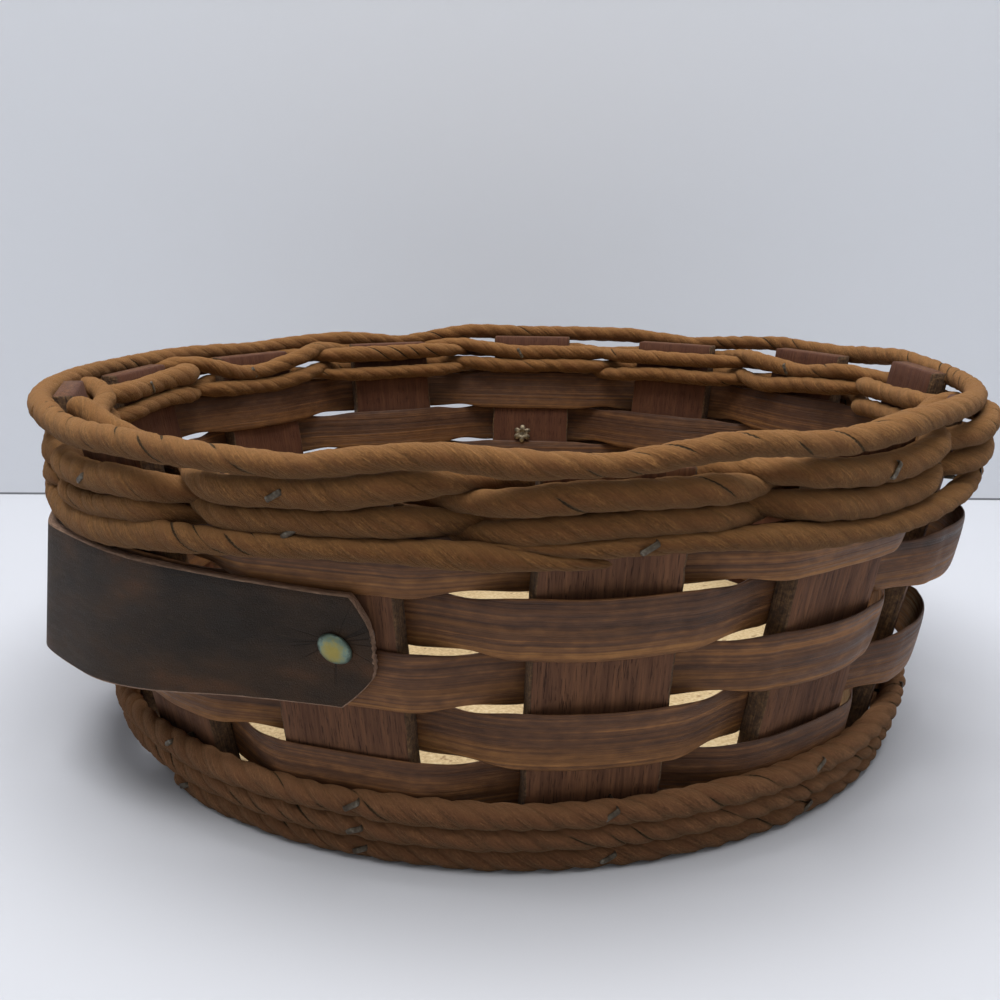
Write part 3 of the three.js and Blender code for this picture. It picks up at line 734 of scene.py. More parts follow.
# %% [markdown]
# The base board and the stakes
#
# The board is a round of pressed wood, and the stakes are glued and stapled to its edge. A
# cylinder and boxes would have knife-sharp edges, which no cut wood has, and a sharp edge catches
# no light. The board is turned from a profile with softened corners. Each stake is a stack of
# sections whose corners are eased and whose cut sides wander by a tenth of a millimetre or two.

# %% Base board
BOARD_TOP = 10
BOARD_SIDES = 208
# Heights of the edge's rings, and how far each is cut back where the edge is eased
BOARD_EDGE = [(0, 0.7), (0.3, 0.2), (0.9, 0), (3, 0), (5, 0), (7, 0), (9.1, 0), (9.7, 0.2),
              (BOARD_TOP, 0.8)]

profile = [(20, 0), (60, 0), (95, 0)]
profile += [(inner_face(z) - CLEARANCE - eased, z) for z, eased in BOARD_EDGE]
profile += [(95, BOARD_TOP), (60, BOARD_TOP), (20, BOARD_TOP)]
rings = np.stack([polar(around(BOARD_SIDES), radius, z) for radius, z in profile])
board = new_object("pressed_board_base", with_middles(rings), ring_faces(len(rings), BOARD_SIDES))
dress(board, "board", BOARD)
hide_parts("base_board")
face_outward(board)

# %% Stakes
STAKE_TOPS = [94.9, 96.9, 98, 99, 100.8, 98.9, 97.2, 97.8, 95.7, 94.9, 95.8, 98.5, 93.9]
STAKE_EASE = 0.35
FACE_POINTS = 9
SIDE_DEPTHS = [0.93, 0.62, 0.3, 0.07]

# Round the section, each point's share of the depth and of the half width
across_face = np.linspace(-0.965, 0.965, FACE_POINTS)
STAKE_SECTION = [(1.0, y) for y in across_face] + [(x, 1.0) for x in SIDE_DEPTHS]
STAKE_SECTION += [(0.0, y) for y in -across_face] + [(x, -1.0) for x in SIDE_DEPTHS[::-1]]
FACE_KIND, CUT_KIND = range(2)
STAKE_KINDS = 2 * ([FACE_KIND] * (FACE_POINTS - 1) + [CUT_KIND] * (len(SIDE_DEPTHS) + 1))


def make_stake(k):
    depth, share = np.array(STAKE_SECTION).T
    half = share * STAKE_WIDTH / 2
    side = np.abs(share) == 1
    top = STAKE_TOPS[k]
    heights = np.concatenate([[CLEARANCE, CLEARANCE + 0.4], np.arange(4, top - 2, 2.5), [top - 0.4, top]])
    wander = [drift(heights, 3.1, 500 + 10 * k + i) for i in range(2)]
    out, tangent = directions_at(k)
    rings, grain = [], []
    for i, z in enumerate(heights):
        eased = STAKE_EASE if i in (0, len(heights) - 1) else 0
        rough = np.where(half > 0, wander[0][i], wander[1][i]) * 0.16
        rough += np.where(side, drift(depth + 5 * z, 0.25, 700 + k) * 0.14, 0)
        cut = np.where(side, eased + 0.15, 0) - np.where(np.abs(share) > 0.95, rough, 0)
        across = np.sign(half) * (np.abs(half) - cut)
        x = inner_face(z) + (STAKE_DEPTH - 2 * eased) * depth + eased
        x += np.where(depth == 1.0, 0.08 * drift(half + 40 * k, 5, 40 + k), 0)
        rings.append(x[:, None] * out + across[:, None] * tangent + np.array([0, 0, z]))
        grain.append(np.stack([across + 41 * k, np.full(len(half), z), x - inner_face(z)], -1))
    stake = swept(f"plywood_stake_{k + 1:02d}", np.array(rings), np.array(grain), [f"stake_{k + 1:02d}"])
    dress(stake, "stake", *STAKE_FINISHES)
    give_kinds(stake, STAKE_KINDS, len(rings), FACE_KIND)


for k in range(STAKES):
    make_stake(k)


# %% [markdown]
# A cord of twisted paper
#
# Cord could be a curve with a round bevel, but that is a smooth hose. A paper ribbon that is
# twisted makes a cord with three or four flattened lobes, and a crease opens between two of them
# here and there. Each ring of this mesh turns a little further than the one before it, so lobes
# and creases wind round the cord, and the material gets the same twist to follow.

# %% Twisted cord
CORD_POINTS = 28
CORD_STEP = 0.9
TWIST = 0.27
LOBES = 3
OFF_TABLE = 0.05


def twisted_cord(name, n, radius, z, width, height, nodes, seed,
                 stapled=(), finish=PAPER, ridge=0.08, blunt=2.4):
    """A cord through places n. It's pressed in where it is stapled, and ends within the blunt length."""
    path = polar(angle_at(n), radius, z)
    _, out, up, length = frame_of_path(path)
    round_it = around(CORD_POINTS)
    twist = round_it[None, :] + TWIST * length[:, None]
    lobe = LOBES * twist + 1.3 * drift(length, 13, seed)[:, None]
    which = (np.floor((lobe + np.pi) / (2 * np.pi)) % LOBES).astype(int)
    groups = smooth(2.5 * drift(length, 41, seed + 9) + 0.15)
    creases = [groups * smooth(3.2 * drift(length, 7, seed + 1 + i) - 0.5) for i in range(LOBES)]
    opened = np.stack(creases)[which, np.arange(len(n))[:, None]]
    groove = np.clip(np.cos(lobe), 0, 1) ** 3
    fine = drift(length, 2.6, seed + 7)[:, None] * np.cos(2 * twist + 1) * 0.08
    swell = 0.17 * drift(length, 17, seed + 5) + 0.09 * drift(length, 6, seed + 6)
    flat_side = 0.12 * drift(length, 11, seed + 8)[:, None] * np.cos(round_it[None, :] * 2)
    pinch = sum((np.exp(-((n - place) / 0.035) ** 2) for place in stapled), 0 * n)
    pressed = 0.75 * pinch[:, None] * np.clip(np.cos(round_it), 0, 1)[None, :]
    fuzz = np.random.default_rng(seed + 20).uniform(-0.07, 0.07, twist.shape)
    lobed = ridge * np.cos(lobe) + (0.24 * opened + ridge) * groove
    relief = swell[:, None] + fuzz - lobed + fine + flat_side - pressed
    from_end = np.minimum(length, length[-1] - length)
    closing = np.sqrt(1 - (1 - np.clip(from_end / blunt, 0.02, 1)) ** 2)[:, None]
    across = (np.broadcast_to(width, n.shape)[:, None] / 2 + relief) * closing
    upright = (np.broadcast_to(height, n.shape)[:, None] / 2 + relief) * closing
    rings = rings_round(path, out, up, across * np.cos(round_it), upright * np.sin(round_it))
    rings[..., 2] = np.maximum(rings[..., 2], OFF_TABLE)
    shift = np.broadcast_to((length[:, None] + 61 * seed) / 10, twist.shape)
    grain = np.stack([np.cos(twist), np.sin(twist), shift], -1)
    cord = swept(name, rings, grain, nodes)
    # Where the lobes and creases lie, for the shade that the material paints into the creases
    remember(cord, "wear", with_middles(np.stack([np.cos(lobe), np.sin(lobe), opened], -1)))
    print(f"{name}: {length[-1] / 1000:.2f} m of cord")
    return dress(cord, "cord", finish)


# %% [markdown]
# The cord woven at the rim
#
# One cord is woven four times round above the splint. Beside a stake it keeps its full height,
# and halfway to the next stake, where all four rounds cross in the plane of the wall, they are
# pressed flat on each other. The middle of the section stays as near to the wall as it can, so
# the cord swings from one side to the other on a smooth curve.

# %% Knots of the woven cord
WOVEN_START, WOVEN_END = -1.38, 50.45
WOVEN_STEP = 0.97
WOVEN_STAPLED = [-0.07, 2.0, 4, 6, 8, 10, 12]
FRAYED_PLACE = 22.6
UPPER_LAID, LOWER_LAID = 91.8, 85.6
FIRST_CROSSED, CROSSED_PITCH = 95.3, 3.9
# Knots along the cord: a place counted in stakes, and the height, the thickness or the bulge there
SEEN_HEIGHTS = [
    (-1.35, 99.4), (-1.2, 96), (-1.0, 92), (-0.62, 91.3), (-0.5, 90.4), (-0.3, 89.8), (-0.15, 90.5),
    (0, 90.8), (0.13, 91.4), (0.2, 92.3), (0.32, 93.8), (0.5, 94.4), (1.5, 94.2), (1.6, 94.2),
    (1.7, 93.7), (1.86, 92.8), (2.1, 92.5), (2.2, 93.4), (2.35, 95.2), (2.5, 96.6), (4.6, 95),
    (4.97, 92.2), (6.8, 91.9), (7.1, 91.6), (9.0, 89.2), (9.2, 89.4), (11.5, 87), (11.8, 85.8),
    (12.03, 86.4), (12.2, 87.7), (12.35, 87.4), (12.5, 86.3), (13.5, 89.6), (13.6, 90.4),
    (13.74, 91.5), (13.9, 92.3), (14.2, 92.4), (14.3, 92.7), (14.4, 91.7), (14.5, 91), (15.4, 93),
    (15.5, 93.5), (15.7, 94.6), (16, 95), (16.3, 94.5), (16.5, 93.5), (18.6, 92.1), (18.9, 91.5),
    (20.7, 92.9), (21, 92.2), (21.25, 92.5), (23.1, 91), (24, 84.4), (24.5, 83.8), (25.44, 84.5),
    (25.55, 83.6), (25.7, 83.4), (25.95, 84.5), (26.12, 84.9), (26.28, 86), (26.38, 86), (26.5, 85),
    (27.5, 87.5), (27.7, 86.8), (27.9, 85.4), (28.2, 85.4), (28.3, 86.5), (28.42, 88.7),
    (28.5, 89.6), (30.4, 90), (30.95, 87.8), (32.8, 87), (33.1, 86.2), (34.9, 83.5), (35.2, 84),
    (37.5, 80), (37.8, 78.6), (38, 79.3), (38.13, 80.8), (38.3, 81.9), (38.4, 81.6), (38.5, 80.8),
    (39.5, 82.4), (39.58, 83.4), (39.7, 84.4), (39.85, 85.3), (40, 86), (40.2, 86.3), (40.33, 86.4),
    (40.43, 85.5), (40.5, 85), (41.5, 86.5), (41.6, 87.4), (42, 87.7), (42.5, 87), (44.4, 85.8),
    (44.75, 85.2), (45.1, 85.4), (46.7, 84.8), (47, 84.6), (47.3, 84.6), (49.1, 85.4), (49.5, 84),
    (49.7, 80.5), (50, 78), (50.5, 78),
]
THICKNESSES = [
    (-1.4, 6), (-0.5, 6.3), (0.4, 6.6), (2, 6.4), (4, 5.5), (11, 5.7), (12, 7), (12.5, 6.5),
    (14, 6.2), (16, 6.2), (18, 5.5), (24, 6.4), (25.6, 5), (26.1, 5.3), (26.3, 6.4), (28, 6.5),
    (30, 5.5), (36, 5.4), (37.6, 5.4), (38, 5), (39, 5.2), (40, 5.7), (42, 6.2), (44, 5.4),
    (50.5, 5.2),
]
BULGES = [
    (-1.4, 5.5), (-1.2, 4), (-1.0, 0), (11.4, 0), (11.6, 0.8), (12.3, 0.8), (12.5, 0), (15.6, 0),
    (15.8, 1.8), (16.2, 1.8), (16.5, 0), (37.4, 0), (37.6, 1.8), (38.35, 1.8), (38.5, 0), (41.6, 0),
    (41.8, 2.2), (42.2, 2.2), (42.5, 0), (49.7, 0), (49.8, 1.8), (50.5, 1.8),
]


print("heights read off the photograph", len(SEEN_HEIGHTS))

# %% Path of the woven cord
def woven_knots():
    """The heights seen in the photograph, and the plain rule for every place between them."""
    seen = np.array(SEEN_HEIGHTS)[:, 0]
    knots = list(SEEN_HEIGHTS)
    for place in np.arange(-1.5, 51, 0.25):
        if np.abs(seen - place).min() >= 0.3:
            done = float(rounds_done(place))
            laid = blend_values(UPPER_LAID, LOWER_LAID, min(max(done - 1, 0), 1))
            knots.append((place, FIRST_CROSSED - done * CROSSED_PITCH if place % 1 == 0.5 else laid))
    return knots


def woven_cord_path(n):
    offset = CLEARANCE + STRAND / 2
    z = along_knots(n, woven_knots(), 0.06)
    crossing = smooth((np.abs(n - np.round(n)) - 0.3) / 0.2)
    inside = inner_face(z) - offset
    outside = (outer_face(z) + offset) * corner_stretch(z)
    radius = blend_values(inside, outside, (1 + side_of_wall(n, CORD_EDGE)) / 2)
    return radius + along_knots(n, BULGES, 0.05), z, crossing


print("knots with the plain rule's", len(woven_knots()))

# %% Woven rim cord
n = steps_along(WOVEN_START, WOVEN_END, WOVEN_STEP)
radius, z, crossing = woven_cord_path(n)
radius = radius + 0.3 * drift(n, 0.8, 31)
z = z + 0.15 * drift(n, 0.4, 32)
thick = along_knots(n, THICKNESSES)
frayed = 1 + 0.25 * np.exp(-((n - FRAYED_PLACE) / 0.12) ** 2)
width = (thick + 0.3) * blend_values(1.0, 1.12, crossing) * frayed
height = (thick + 0.25) * blend_values(1.0, 0.82, crossing) * frayed
twisted_cord("woven_rim_cord", n, radius, z, width, height, ["rim_woven_cord"], 11, WOVEN_STAPLED)


# %% [markdown]
# The top cord, the lower cord and the foot cord
#
# A cord is laid round outside the stake ends and dips at each of them, where a staple or the
# lashing draws it down. Another is laid under the woven rounds: its two ends are pared thin and
# lie one over the other. Three turns of cord close the foot. All of them rest against the stakes'
# corners, and nothing else holds them out.

# %% Top cord
# The top cord's ends meet in a seam, so its last rings are close together
TINY = 0.0008
TOP_HEIGHTS = [
    (-1.5, 97), (-1.2, 96.3), (-1, 96.3), (-0.8, 97), (-0.5, 97), (-0.1, 96.9), (0.02, 96.7),
    (0.1, 97.9), (0.2, 98.9), (0.34, 100.2), (0.46, 100.7), (0.57, 99.9), (0.7, 99), (0.86, 98.9),
    (0.96, 98.6), (1.05, 99.4), (1.15, 100.4), (1.3, 101.6), (1.45, 101.7), (1.6, 100.7),
    (1.75, 100.2), (1.9, 100.7), (2.1, 101.9), (2.3, 102.4), (2.6, 102.1), (3, 100.3), (3.8, 99.7),
    (4.1, 100.1), (4.4, 101.2), (4.6, 100.1), (4.9, 98.8), (5.1, 99.2), (5.35, 100), (5.6, 99),
    (5.76, 98.2), (5.95, 97), (6.1, 98), (6.35, 99.2), (6.7, 99.1), (7.1, 99.1), (7.4, 99.7),
    (7.6, 98), (7.87, 95.4), (8, 96.7), (8.3, 97.8), (8.6, 96.9), (8.9, 95.9), (9.3, 96.8),
    (9.6, 96.5), (10, 96.7), (11.5, 97),
]
TOP_RADII = [
    (-1.5, 135.5), (-0.5, 136.5), (0.5, 137.2), (1.5, 137), (2.3, 135.5), (2.9, 133.7), (3.5, 134),
    (4.5, 136), (7, 136.5), (10, 136), (11.5, 135.5),
]
TOP_SIZES = [
    (-1.5, 6.2), (-0.9, 6.5), (-0.5, 6.1), (-0.12, 5.7), (0.02, 4.6), (0.12, 5.6), (0.3, 5.2),
    (0.46, 5.1), (0.7, 6), (0.95, 4.9), (1.05, 5.7), (1.4, 5.2), (1.8, 5.5), (2, 6.3), (2.5, 5.8),
    (3, 5.5), (5, 4.9), (5.95, 4.3), (6.3, 5), (7.6, 5), (7.87, 4), (8.2, 5), (10, 5.2),
    (11.5, 6.2),
]
start, end = LEFT_HANDLE - STAKES, LEFT_HANDLE
n = np.concatenate([[start], steps_along(start + TINY, end - TINY, CORD_STEP), [end]])
size = along_knots(n, TOP_SIZES, 0.05)
calm = smooth(3 * (n - start)) * smooth(3 * (end - n))
far = smooth(n - 3.4) * smooth(10.6 - n)
radius = along_knots(n, TOP_RADII) + 0.3 * calm * drift(n, 0.9, 41)
z = along_knots(n, TOP_HEIGHTS, 0.05) - 0.25 * far + 0.12 * calm * drift(n, 0.5, 42)
twisted_cord("laid_top_cord", n, radius, z, size + 0.5, size + 0.1 + 0.7 * far,
             ["rim_top_cord"], 12, blunt=0.045)

# %% Lower cord
LOWER_START = 0.6
LOWER_END = STAKES + 0.97
LOWER_HEIGHTS = [
    (0.6, 82.3), (0.75, 81.6), (0.87, 81.1), (1.0, 81.5), (1.2, 81.9), (1.4, 81.6), (1.5, 81.2),
    (1.63, 80.4), (1.75, 79.8), (1.9, 79.3), (2.14, 79.1), (2.6, 79.9), (3, 80.4), (9.5, 80.2),
    (10.3, 78), (11, 73.9), (11.4, 72.6), (11.8, 72.9), (12, 73.8), (12.13, 74.6), (12.3, 76.3),
    (12.5, 77.4), (12.7, 78.6), (13, 79.7), (13.3, 80.3), (13.58, 79.8), (13.7, 79.3),
    (13.85, 78.5), (13.97, 78),
]
LOWER_SIZES = [
    (0.6, 0.9), (0.75, 2.2), (0.87, 3.4), (0.95, 3.9), (1.2, 4.1), (1.4, 5.2), (1.6, 5.8),
    (1.85, 4.9), (2.1, 5.2), (3, 5.6), (11, 6), (11.9, 7), (12.3, 7.3), (12.6, 6), (12.85, 5.4),
    (13, 4.9), (13.2, 5.1), (13.5, 6.3), (13.65, 5.4), (13.8, 3.6), (13.97, 0.9),
]
LOWER_CENTRE = (outer_face(LOWER_CORD_HEIGHT) + OVER_SPLINT + LOWER_CORD / 2) / math.cos(FLAT_ANGLE)
LOWER_STAPLED = [1.08, 3, 5, 7, 9, 11]
n = steps_along(LOWER_START, LOWER_END, CORD_STEP)
size = along_knots(n, LOWER_SIZES, 0.04)
radius = LOWER_CENTRE - 0.6 * smooth(n - 10.2) * smooth(13 - n) + 0.3 * drift(n, 0.9, 43)
twisted_cord("laid_lower_cord", n, radius, along_knots(n, LOWER_HEIGHTS, 0.05),
             np.clip(size + 0.8, 0, 6), size + 0.2, ["rim_lower_cord"], 13, LOWER_STAPLED)

# %% Foot cord
FOOT_START = DROP_START + DROP_LENGTH
FOOT_END = DROP_START + FOOT_TURNS * STAKES - 0.5
FOOT_STEP_RADIUS = 123
FOOT_SHIFT = 0.06
TOP_TURN_STAPLES = range(38, 49)
# Radius, height, width and thickness of the three turns, from the lowest one, which is tucked in
FOOT_ROWS = ((116.3, 118, 119.1), (2.95, 9.0, 15.1), (5.2, 5.9, 6.1), (5.6, 6.1, 6.2))


def foot_path(n):
    turn = np.clip(rounds_done(n) - 1, 0, FOOT_TURNS - 1)
    radius, z, width, height = (np.interp(turn, range(FOOT_TURNS), row) for row in FOOT_ROWS)
    return radius * corner_stretch(CLEARANCE), z, width, height


foot_stapled = [place + FOOT_SHIFT for place in (*range(12, 25), 26, *TOP_TURN_STAPLES)]
n = steps_along(FOOT_START, FOOT_END, CORD_STEP, FOOT_STEP_RADIUS)
radius, z, width, height = foot_path(n)
twisted_cord("foot_cord_turns", n, radius + 0.25 * drift(n, 0.7, 44), z + 0.12 * drift(n, 0.9, 45),
             width, height, ["foot_cord"], 14, foot_stapled, FOOT_PAPER, 0.19)


# %% [markdown]
# The woven splint
#
# One strip of split wood makes five rows. It is thin and springy, so it lies flat on a stake's
# edges and stands off its middle in a shallow bow, less where the strap or the lower cord presses
# on it. Its section is a flat lens with round edges, tilted with the wall. The lowest row goes
# down behind the top turn of the foot cord, and ends there.

# %% Where the splint lies
SPLINT_POINTS = 24
SPLINT_START, SPLINT_END = -1.3, 63.3
SPLINT_STEP, SPLINT_STEP_RADIUS = 1.5, 125
SPLINT_SWING = 0.235
START_TAPER = 3.5
HIDDEN_EDGE = 12.5
# Where a loop stands out farther than the others, and how far
LOOSE_LOOPS = [(16, 5.2), (42, 3.2)]


def slack_at(n, row):
    """How far the splint stands off the middle of the stake that it passes."""
    stake = np.round(n).astype(int)
    loose = np.random.default_rng(77).uniform(0.75, 1.15, 80)[stake + 4]
    outside = np.select([row < 0.9, row > 3.1], [0.6, 1.3], 2.2)
    slack = np.where(stake % 2 == 0, outside, -1.4) * loose
    return np.where(np.isin(stake % STAKES, STRAPPED), 0, slack)


def splint_radius(n, z, row):
    side = side_of_wall(n, SPLINT_SWING)
    past = np.abs(n - np.round(n)) * PITCH_ANGLE
    corner = np.arctan(STAKE_WIDTH / 2 / outer_face(z))
    square = outer_face(z) - STAKE_DEPTH / 2 + side * (STAKE_DEPTH / 2 + SPLINT_OFFSET)
    bow = np.clip(1 - (past / corner) ** 2, 0, 1)
    loops = sum(reach * np.exp(-((n - place) / 0.45) ** 2) for place, reach in LOOSE_LOOPS)
    return square / np.cos(np.minimum(past, FLAT_ANGLE)) + bow * slack_at(n, row) + loops


print("the top row stands", splint_radius(np.array([2.0]), TOP_ROW, 0).round(1), "mm out at stake 2")

# %% Woven splint
n = steps_along(SPLINT_START, SPLINT_END, SPLINT_STEP, SPLINT_STEP_RADIUS)
row = np.clip(rounds_done(n), 0, SPLINT_ROWS - 1)
crossing = smooth((np.abs(n - np.round(n)) - SPLINT_EDGE) / (0.5 - SPLINT_EDGE))
width = blend_values(SPLINT_WIDTH + 0.1, CROSSING_WIDTH - 0.9, crossing)
middle = TOP_ROW - row * ROW_PITCH + 0.25 * drift(n, 0.9, 51) * (1 - crossing)
low = np.maximum(middle - width / 2, HIDDEN_EDGE) + 0.12 * drift(n, 0.11, 52)
taper = START_TAPER * (1 - smooth((n - SPLINT_START) / 1.5))
high = middle + width / 2 + 0.12 * drift(n, 0.13, 53) - taper
tilt = 0.25 * drift(n, 0.8, 54)
low_edge = polar(angle_at(n), splint_radius(n, low, row) - tilt, low)
high_edge = polar(angle_at(n), splint_radius(n, high, row) + tilt, high)
path = (low_edge + high_edge) / 2
along, _, _, length = frame_of_path(path)
width = np.linalg.norm(high_edge - low_edge, axis=1)
across = (high_edge - low_edge) / width[:, None]
outward = unit(np.cross(along, across))
turn = around(SPLINT_POINTS)
share = np.sign(np.cos(turn)) * np.abs(np.cos(turn)) ** 0.5
lift = np.sign(np.sin(turn)) * np.abs(np.sin(turn)) ** 0.8
thick = SPLINT_THICKNESS / 2 * (1.02 + 0.1 * drift(n, 0.6, 55))
crown = 0.12 * (1 - share ** 2)
beside = width[:, None] / 2 * share
rings = rings_round(path, across, outward, beside, thick[:, None] * lift + crown)
grain = np.broadcast_arrays(length[:, None], beside, 0.6 * lift)
splint = swept("split_wood_weaver", rings, np.stack(grain, -1), ["woven_splint"])
dress(splint, "splint", SPLINT)
print(f"splint {length[-1] / 1000:.2f} m long")


# %% [markdown]
# The leather straps
#
# Each handle is one strip of thick leather, riveted to two stakes and standing off the wall in
# its middle. It bends beside the rivets when it is lifted, so the CAD model cuts it into a loop
# and two ends there. Here it is one unbroken strip again, and it is blended from the basket to
# the loop across the bend. Its corners are trimmed at the tips, and the cut is a little ragged.
# Each point keeps how far it is from its rivet, for the creases round it.

# %% Strap sizes
STRAP_THICKNESS = 2.5
STRAP_HEIGHT = 54.7
STRAP_END_WIDTH = 28.3
STRAP_MIDDLE_WIDTH = 33.7
STRAP_STANDOFF = 10
STRAP_DROOP = 3
BEYOND_RIVET = 9
RIVET_HEIGHT = 57.2
RIVET_OFFSET = 3.2
RIVET_ANGLE = 1.5 * PITCH_ANGLE
STRAP_FACE = outer_face(STRAP_HEIGHT) + OVER_SPLINT
TIP_ANGLE = RIVET_ANGLE + (RIVET_OFFSET + BEYOND_RIVET) / STRAP_FACE

# Round the section, each point's height over the back and its share of the half width
face_places = np.linspace(-1, 1, 15)
STRAP_SECTION = [(STRAP_THICKNESS, 0.97 * s) for s in face_places] + [(2.1, 1.0), (1.3, 1.0), (0.4, 1.0)]
STRAP_SECTION += [(0.0, -0.98 * s) for s in face_places] + [(0.4, -1.0), (1.3, -1.0), (2.1, -1.0)]
FRONT_KIND, EDGE_KIND, BACK_KIND = range(3)
STRAP_KINDS = [FRONT_KIND] * 14 + [EDGE_KIND] * 4 + [BACK_KIND] * 14 + [EDGE_KIND] * 4
# How far each of the last rings is from a strap's tip
TIP_STEPS = np.array([0, 0.25, 0.6, 1.1, 1.7, 2.4, 3.2, 4.0, 4.8, 5.8, 7, 8.2, 9.5])
# The tip's half height above and below its middle, and the length over which it is trimmed
UPPER_TIP, UPPER_TRIM = 5.0, 4.6
LOWER_TIP, LOWER_TRIM = 2.5, 9.5


print("a strap's tips are", round(2 * TIP_ANGLE * STRAP_FACE), "mm apart round the wall")

# %% A strap's section along its length
def strap_ring(across_angle, seed):
    """A strap's section this far round from its middle, beside +X, and what its leather keeps."""
    side = math.copysign(1, across_angle)
    size = abs(across_angle)
    turned_by = math.degrees(size)
    bow = float(smooth((35 - turned_by) / 25))
    nipped = min((math.hypot(turned_by, 1.4) - 1.4) / 17, 1)
    stand = STRAP_STANDOFF * bow * (1 - 0.42 * (1 - (1 - nipped) ** 2))
    from_stake = min(abs(size - RIVET_ANGLE), FLAT_ANGLE)
    inner = STRAP_FACE / math.cos(from_stake) + stand
    swell = math.cos(min(size / RIVET_ANGLE, 1) * math.pi / 2)
    width = blend_values(STRAP_END_WIDTH, STRAP_MIDDLE_WIDTH, swell)
    from_tip = (TIP_ANGLE - size) * STRAP_FACE
    upper = blend_values(UPPER_TIP, width / 2, min(from_tip / UPPER_TRIM, 1) ** 0.9)
    lower = blend_values(LOWER_TIP, width / 2, min(from_tip / LOWER_TRIM, 1) ** 0.7)
    ragged = 0.5 * max(0.0, 1 - from_tip / 1.5)
    lean = blend_values(WALL_LEAN, -0.1, bow)
    middle = STRAP_HEIGHT - STRAP_DROOP * bow
    wander = 0.12 * float(drift([across_angle * 130], 3, seed)[0])
    from_rivet = across_angle * STRAP_FACE - side * (RIVET_ANGLE * STRAP_FACE + RIVET_OFFSET)
    points, hide = [], []
    for out, share in STRAP_SECTION:
        up = share * (upper if share > 0 else lower)
        up += math.copysign(wander, share) * (abs(share) > 0.9)
        over_rivet = middle + up - RIVET_HEIGHT
        pressed = 0.3 * math.exp(-(from_rivet ** 2 + over_rivet ** 2) / 30) * (out > 1)
        cut_back = ragged / STRAP_FACE * (1 + float(drift([up], 1.6, seed + 1)[0]))
        uneven = 0.1 * float(drift([up + across_angle * 90], 9, seed + 2)[0])
        radius = inner + out - pressed + lean * up + uneven
        points.append(polar(across_angle - side * cut_back, radius, middle + up))
        hide.append((across_angle * STRAP_FACE, up, out, from_rivet, over_rivet, 0))
    return points, hide


print("the strap's middle has", len(strap_ring(0, 3)[0]), "points round it")

# %% Straps
def make_strap(side, place, seed):
    near_tip = TIP_ANGLE - TIP_STEPS / STRAP_FACE
    middle = np.linspace(-near_tip[-1] + 0.01, near_tip[-1] - 0.01, 150)
    made = [strap_ring(a, seed) for a in np.concatenate([-near_tip, middle, near_tip[::-1]])]
    spin = np.array(Matrix.Rotation(float(angle_at(place)), 3, "Z"))
    rings = np.array([points for points, _ in made]) @ spin.T
    hide = np.array([hide for _, hide in made])
    strap = swept(f"{side}_leather_strap", rings, hide[..., :3] + np.array([seed * 300, 0, 0]),
                  [f"{side}_strap_loop", f"{side}_strap_front_end", f"{side}_strap_rear_end"], None)
    # Where each point lies from its rivet, for the creases that the material paints dark as shade
    remember(strap, "wear", with_middles(hide[..., 3:]))
    dress(strap, "leather", *LEATHER_FINISHES)
    give_kinds(strap, STRAP_KINDS, len(rings), EDGE_KIND)
    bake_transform(strap)


make_strap("left", LEFT_HANDLE, 3)
make_strap("right", RIGHT_HANDLE, 8)


# %% [markdown]
# Rivets
#
# A rivet's head is domed and dented by the hammer, and inside the basket its split end is bent
# flat into a star. A lathe gives the head, and the same lathe with a radius that swings in and out
# gives the star.

# %% Rivet profiles
HEAD_SEAT = STAKE_THICKNESS / 2 + OVER_SPLINT * math.cos(LEAN_ANGLE) + STRAP_THICKNESS
STAR_SEAT = STAKE_THICKNESS / 2 + (CLEARANCE + SPLINT_THICKNESS) * math.cos(LEAN_ANGLE) + CLEARANCE
RIVET_SIDES = 48
RIVET_TILT = math.radians(-28)
SHANK_RADIUS = 1.3
STAR_RADIUS = 3.8
# The head's height over its seat, and the star's over its own, each with a radius
HEAD = [(-0.1, 2.4), (0, 3.35), (0.2, 3.6), (0.5, 3.6), (0.9, 3.35), (1.25, 2.8), (1.5, 2.0), (1.6, 1.0)]
STAR = [(-0.15, 1.2), (-0.15, 3.6), (0.1, STAR_RADIUS), (0.45, 3.5), (0.75, 2.4), (0.7, 1.5), (0.3, 0.9)]
SHANK = [(-STAR_SEAT - 0.3, SHANK_RADIUS), (-2, SHANK_RADIUS), (2, SHANK_RADIUS),
         (HEAD_SEAT + 0.2, SHANK_RADIUS)]


def rivet_rings(profile, petals, seed):
    """Rings round the rivet's own +X axis from (distance along it, radius)."""
    turn = around(RIVET_SIDES)
    blows = np.random.default_rng(seed).uniform(-1, 1, 8)[np.arange(9) % 8]
    dents = 0.16 * np.interp(turn, np.linspace(0, 2 * np.pi, 9), blows)
    rings = []
    for x, radius in profile:
        swing = 1 - petals * (1 - np.abs(np.cos(3 * turn)) ** 0.7) * min(radius / STAR_RADIUS, 1)
        long_way, short_way = (1.14, 0.97) if x > 0 and radius > SHANK_RADIUS else (1, 1)
        y, z = radius * swing * long_way * np.cos(turn), radius * swing * short_way * np.sin(turn)
        tilted = (y * math.cos(RIVET_TILT) - z * math.sin(RIVET_TILT),
                  y * math.sin(RIVET_TILT) + z * math.cos(RIVET_TILT))
        rings.append(np.stack([x + dents * (radius > 0.5) * (abs(x) > HEAD_SEAT + 0.6), *tilted], -1))
    return np.array(rings)


print("rivet length", round(HEAD_SEAT + STAR_SEAT, 1), "mm from seat to seat")

